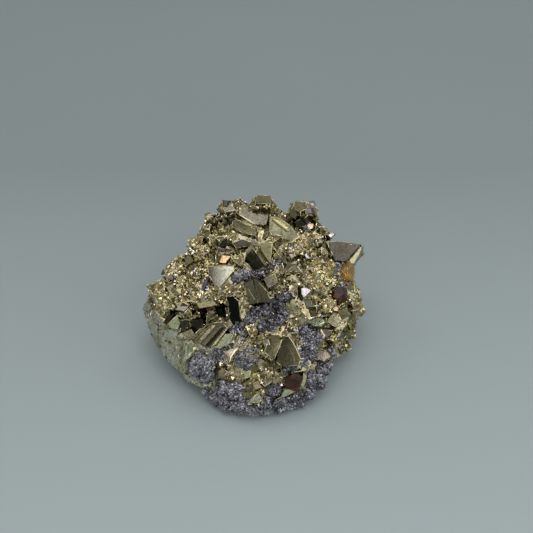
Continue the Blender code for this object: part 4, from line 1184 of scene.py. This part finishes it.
def glint_points(rng, name, count, smallest, largest):
    """Tiny crystals that grew alike, each with one face set to mirror a lamp towards the sight point.

    That face points half way between the lamp and the sight point. The crystal is spun at random round it.
    """
    spots, facing = pick_spots(rng, *rock, count)
    size = smallest + (largest - smallest) * rng.random(count) ** 1.5
    seen = eye_share(spots, facing) > GLINT_SEEN
    grown = rng.random(count) < crowding(spots) ** 2.0 * painted_shade_kept(spots) ** 2.0
    keep = seen & free_rock(spots, facing, size) & grown & ~bare_wall(spots)
    spots, facing, size = spots[keep], facing[keep], size[keep]
    ways = unit(np.array([LAMPS[lamp][0] for lamp in GLINT_LAMPS]))
    half = unit(ways[rng.integers(0, len(ways), len(spots))] + unit(EYE - spots))
    open_way = (half * facing).sum(axis=1) > GLINT_OPEN
    spots, facing, size, half = spots[open_way], facing[open_way], size[open_way], half[open_way]
    side = unit(np.cross(half, rng.normal(size=half.shape)))
    own = unit(np.array((1.0, 1.0, 1.0)))
    own_side = unit(np.array((1.0, -1.0, 0.0)))
    own_frame = np.stack((own_side, np.cross(own, own_side), own))
    turns = np.stack((side, np.cross(half, side), half), axis=2) @ own_frame
    tints = GLINT_TINTS[rng.integers(0, len(GLINT_TINTS), len(spots))]
    tones = tints * rng.uniform(0.25, 0.9, (len(spots), 1))
    centres = spots + facing * (size * GLINT_STAND)[:, None]
    sizes = np.repeat(size[:, None] * TIP, 3, axis=1)
    make_piece(name, [copies(pyrite_habit(), centres, turns, sizes, tones)], LARGER)


grow_points(rng, "druse_display", 30000, 0.7, 1.8, True)
glint_points(rng, "glint_points", 3400, 0.45, 1.15)
grow_points(rng, "druse_walls", 9000, 1.0, 2.3, False)
grow_points(rng, "larger_points", 1300, 2.2, 3.6, None, 0.90, 0.80)

# Dark grains on the dark minerals, and strewn on the rock: how many for each square mm, how many of them are
# painted pale as glints, how far they stay off outlines and off the rock, and how many of its sizes a grain's
# middle is kept above the table.
GRAIN_HABITS = [lump_habit(rng, 11) for _ in range(5)]
GRAIN_GREY = np.array((0.43, 0.43, 0.47))
GRAIN_PAINTED_GLINT = np.array((0.80, 0.74, 0.82))
GRAINS_PER_AREA = 5.0
PAINTED_GLINT_SHARE = 0.06
OFF_OUTLINE = 0.2
OFF_ROCK = 0.40
GRAIN_CLEAR = 1.45


def heap_grains(rng, name, spots, facing, smallest, largest):
    """Grains at spots, of five habits, turned at random, most dark grey and a few painted pale as glints."""
    size = rng.uniform(smallest, largest, len(spots))
    tones = GRAIN_GREY * rng.uniform(0.4, 1.2, (len(spots), 1))
    tones *= np.clip(1.0 + 0.7 * value_noise(spots, 2.6, SEED + 11), 0.35, 1.5)[:, None]
    pale = rng.random(len(spots)) < PAINTED_GLINT_SHARE
    # Grains in the shaded places are darkened too, as painted shade.
    tones *= painted_shade_kept(spots)[:, None] ** 0.8
    tones[pale] = GRAIN_PAINTED_GLINT * rng.uniform(0.8, 1.2, (int(pale.sum()), 1))
    size[pale] *= 0.8
    centres = spots + facing * (size * 0.1)[:, None]
    centres[:, 2] = np.maximum(centres[:, 2], size * GRAIN_CLEAR)
    stretch = rng.uniform(0.8, 1.15, (len(spots), 3)) * size[:, None]
    turns = random_turns(rng, len(spots))
    kind = rng.integers(0, len(GRAIN_HABITS), len(spots))
    make_piece(name, [copies(habit, centres[kind == row], turns[kind == row], stretch[kind == row],
                             tones[kind == row]) for row, habit in enumerate(GRAIN_HABITS)], GRAIN)


for name in DARK_NODES:
    surface = node_triangles(nodes[name])
    spots, facing = pick_spots(rng, *surface, int(surface[2].sum() * GRAINS_PER_AREA))
    open_side = nearest(spots, rock_spots) > OFF_ROCK
    for corners in (row[1] for row in FACETS if row[0] in OVER_GRAINS):
        open_side &= (outline_gap(face_places(spots), corners) > OFF_OUTLINE) | (facing @ TOWARD < 0.0)
    heap_grains(rng, name.replace("dark_", "grains_"), spots[open_side], facing[open_side], 0.22, 0.54)

strewn, strewn_facing = [], []
for u, v, radius, count in STREWN:
    way = rng.uniform(0.0, 2.0 * math.pi, count)
    out = radius * np.sqrt(rng.random(count))
    uv = np.column_stack((u + out * np.cos(way), v + out * np.sin(way)))
    distance, row = sight_hits(uv, rock_triangles)
    hit = np.isfinite(distance)
    for corners, _ in ALL_OUTLINES:
        hit &= outline_gap(uv, corners) > OFF_OUTLINE
    strewn.append((EYE + sight_lines(uv) * distance[:, None])[hit])
    strewn_facing.append(rock_normals[row[hit]])
heap_grains(rng, "grains_strewn", np.concatenate(strewn), np.concatenate(strewn_facing), 0.28, 0.62)

# The sheet over the bare wall: its angles and heights, how far out its rays start, how far one goes that
# meets no rock, and how deep the sheet's back lies.
WALL_ANGLES = np.radians(np.linspace(-182.0, -114.0, 118))
WALL_HEIGHTS = np.linspace(0.4, 22.0, 64)
WALL_START, WALL_DEEPEST = 90.0, 60.0
WALL_BACK = 3.0
# The wall's relief as (height, size, seed), its pits' size, least noise and depth, how far the sheet stands
# off the rock, and how far and over how many steps its border dips.
WALL_RELIEF = ((0.55, 2.6, 31), (0.22, 0.9, 32))
PIT_SIZE, PIT_FROM, PIT_DEPTH = 1.2, 0.34, 2.6
WALL_LIFT, WALL_DIP, WALL_BORDER = 0.36, 2.4, 4.0


def from_border(count):
    """How many steps each place in a row lies from the row's nearer end."""
    return np.minimum(np.arange(count), np.arange(count)[::-1])


def wall_skin():
    """A pitted sheet over the bare wall, closed at its back.

    Level rays are sent in at even angles and heights. Each meets the rock, and the sheet stands off that
    point by crossed noises, less near the sheet's border, where it dips under the rock. Round pits sink it.
    """
    turn, high = (grid.ravel() for grid in np.meshgrid(WALL_ANGLES, WALL_HEIGHTS))
    outward = np.column_stack((np.cos(turn), np.sin(turn), np.zeros(len(turn))))
    start = outward * WALL_START + np.column_stack((np.zeros((len(turn), 2)), high))
    middle = rock_triangles.mean(axis=1)
    near = (middle[:, 0] < -5.0) & (middle[:, 1] < 12.0)
    distance, _ = ray_hits(start, -outward, rock_triangles[near])
    distance[~np.isfinite(distance)] = WALL_DEEPEST
    spots = start - outward * distance[:, None]
    shape = (len(WALL_HEIGHTS), len(WALL_ANGLES))
    border = np.minimum(from_border(shape[0])[:, None], from_border(shape[1])).ravel()
    rough = sum(height * value_noise(spots, size, seed) for height, size, seed in WALL_RELIEF)
    pit = np.clip(value_noise(spots, PIT_SIZE, 33) - PIT_FROM, 0.0, 0.4) * PIT_DEPTH
    lift = WALL_LIFT + rough - pit - WALL_DIP * np.clip(1.0 - border / WALL_BORDER, 0.0, 1.0)
    outer = spots + outward * lift[:, None]
    outer[:, 2] = np.maximum(outer[:, 2] + 0.15 * value_noise(spots, 0.9, 34), 0.05)
    return closed_sheet(outer, spots - outward * WALL_BACK, shape, np.ones((len(spots), 3)))


make_piece("wall_skin", [wall_skin()], WALL, smooth=True)


# Amber crystals: how much larger than its place a body is, and the bevel of a smooth and of a faceted one.
AMBER_GROWN = 1.08
AMBER_BEVELS = {True: 0.35, False: 0.12}


def amber_body(rng, name, material, half_height, half_width, turn_degrees, sides, smooth):
    """A blunt crystal of uneven faces, stretched along its length, in place of the frame's."""
    low, high = (np.array(corner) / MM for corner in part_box(name))
    lean = math.radians(turn_degrees)
    long_way = RIGHT * math.sin(lean) + UP * math.cos(lean)
    wide_way = RIGHT * math.cos(lean) - UP * math.sin(lean)
    turn = np.column_stack((wide_way, TOWARD, long_way))
    if np.linalg.det(turn) < 0.0:
        turn[:, 0] *= -1.0
    size = np.array([[half_width, half_width, half_height]]) * AMBER_GROWN
    body = copies(lump_habit(rng, sides), ((low + high) / 2)[None], turn[None], size, np.ones((1, 3)))
    piece = make_piece(name.replace("crystal", "resin"), [body], material, smooth=smooth)
    bevel = piece.modifiers.new("soft_edges", "BEVEL")
    bevel.width = AMBER_BEVELS[smooth] * MM
    bevel.segments = 3
    bevel.limit_method = "ANGLE"
    bevel.angle_limit = math.radians(12.0)
    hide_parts(name)


amber_body(rng, "honey_crystal", HONEY, 3.6, 2.5, 8.0, 15, True)
amber_body(rng, "red_crystal_right", RED, 3.4, 2.7, 35.0, 12, False)
amber_body(rng, "red_crystal_front", RED, 3.6, 3.0, 80.0, 12, False)

# ---------------------------------------------------------------- stage, light and camera

FLOOR_SIZE = 3000.0
# The floor's colour at the front and at the back; the darker back is painted shade for the lamps' falloff.
FLOOR_NEAR, FLOOR_FAR = (0.415, 0.500, 0.520), (0.252, 0.311, 0.327)
ROOM_FRONT, ROOM_MIDDLE, ROOM_BACK = (0.51, 0.52, 0.50), (0.51, 0.51, 0.49), (0.55, 0.52, 0.48)
ROOM_SEEN = (0.60, 0.64, 0.64, 1.0)


def make_floor():
    """A plain pale sheet under the specimen, painted darker towards its back as the shade of the lamps'
    falloff.
    """
    half = FLOOR_SIZE / 2 * MM
    mesh = bpy.data.meshes.new("floor")
    mesh.from_pydata([(-half, -half, 0.0), (half, -half, 0.0), (half, half, 0.0), (-half, half, 0.0)], [],
                     [(0, 1, 2, 3)])
    material, tree, shader, place = start_material("pale_floor", Roughness=0.75)
    shade = ramp(tree, noise(tree, place, 6.0), ((0.3, (0.97, 0.97, 0.97)), (0.7, WHITE)))
    away = remap(tree, part_of(tree, place, "Y"), -0.10, 0.12)
    colour = ramp(tree, away, ((0.0, FLOOR_NEAR), (1.0, FLOOR_FAR)))
    tree.links.new(times(tree, colour, shade), shader.inputs["Base Color"])
    mesh.materials.append(material)
    place_in_scene("floor", mesh)


def softbox(name, direction, distance, size, radiance, colour):
    """A square lamp in a direction from the specimen, as bright per area as `radiance`."""
    lamp = bpy.data.lights.new(name, "AREA")
    lamp.shape = "SQUARE"
    lamp.size = size * MM
    lamp.energy = radiance * math.pi * (size * MM) ** 2
    lamp.color = colour
    back = unit(np.asarray(direction, float))
    side = unit(np.cross((0.0, 1.0, 0.01), back))
    turn = Matrix((side, np.cross(back, side), back)).transposed().to_4x4()
    turn.translation = (AIM + back * distance) * MM
    place_in_scene(name, lamp).matrix_world = turn


def make_world():
    """A plain room with lighter and darker patches for the metal to mirror, pale where seen directly."""
    world = bpy.data.worlds.new("studio")
    bpy.context.scene.world = world
    world.use_nodes = True
    tree = world.node_tree
    tree.nodes.clear()
    way = tree.nodes.new("ShaderNodeTexCoord").outputs["Generated"]
    depth = remap(tree, part_of(tree, way, "Y"), -0.8, 0.7)
    room = ramp(tree, depth, ((0.0, ROOM_FRONT), (0.5, ROOM_MIDDLE), (1.0, ROOM_BACK)))
    patches = ramp(tree, noise(tree, way, 3.2, 2.0), (
        (0.34, (0.30, 0.30, 0.30)), (0.46, (0.72, 0.72, 0.72)), (0.56, (0.90, 0.90, 0.90)),
        (0.66, (1.35, 1.3, 1.25))))
    seen = tree.nodes.new("ShaderNodeLightPath").outputs["Is Camera Ray"]
    light = mix(tree, times(tree, room, patches), ROOM_SEEN, seen)
    glow = link_nodes(tree, "ShaderNodeBackground", {"Color": light, "Strength": 1.0})
    out = tree.nodes.new("ShaderNodeOutputWorld")
    tree.links.new(glow.outputs["Background"], out.inputs["Surface"])


def make_camera():
    """The view of the display face from its sight point."""
    lens = bpy.data.cameras.new("view")
    lens.lens = 45.0
    lens.sensor_width = 36.0
    lens.clip_start = 0.01
    camera = place_in_scene("view", lens)
    place = Matrix((RIGHT, UP, TOWARD)).transposed().to_4x4()
    place.translation = EYE * MM
    camera.matrix_world = place
    bpy.context.scene.camera = camera


make_floor()
make_world()
make_camera()
for name, row in LAMPS.items():
    softbox(name + "_lamp", *row)
bpy.context.scene.view_settings.view_transform = "Standard"
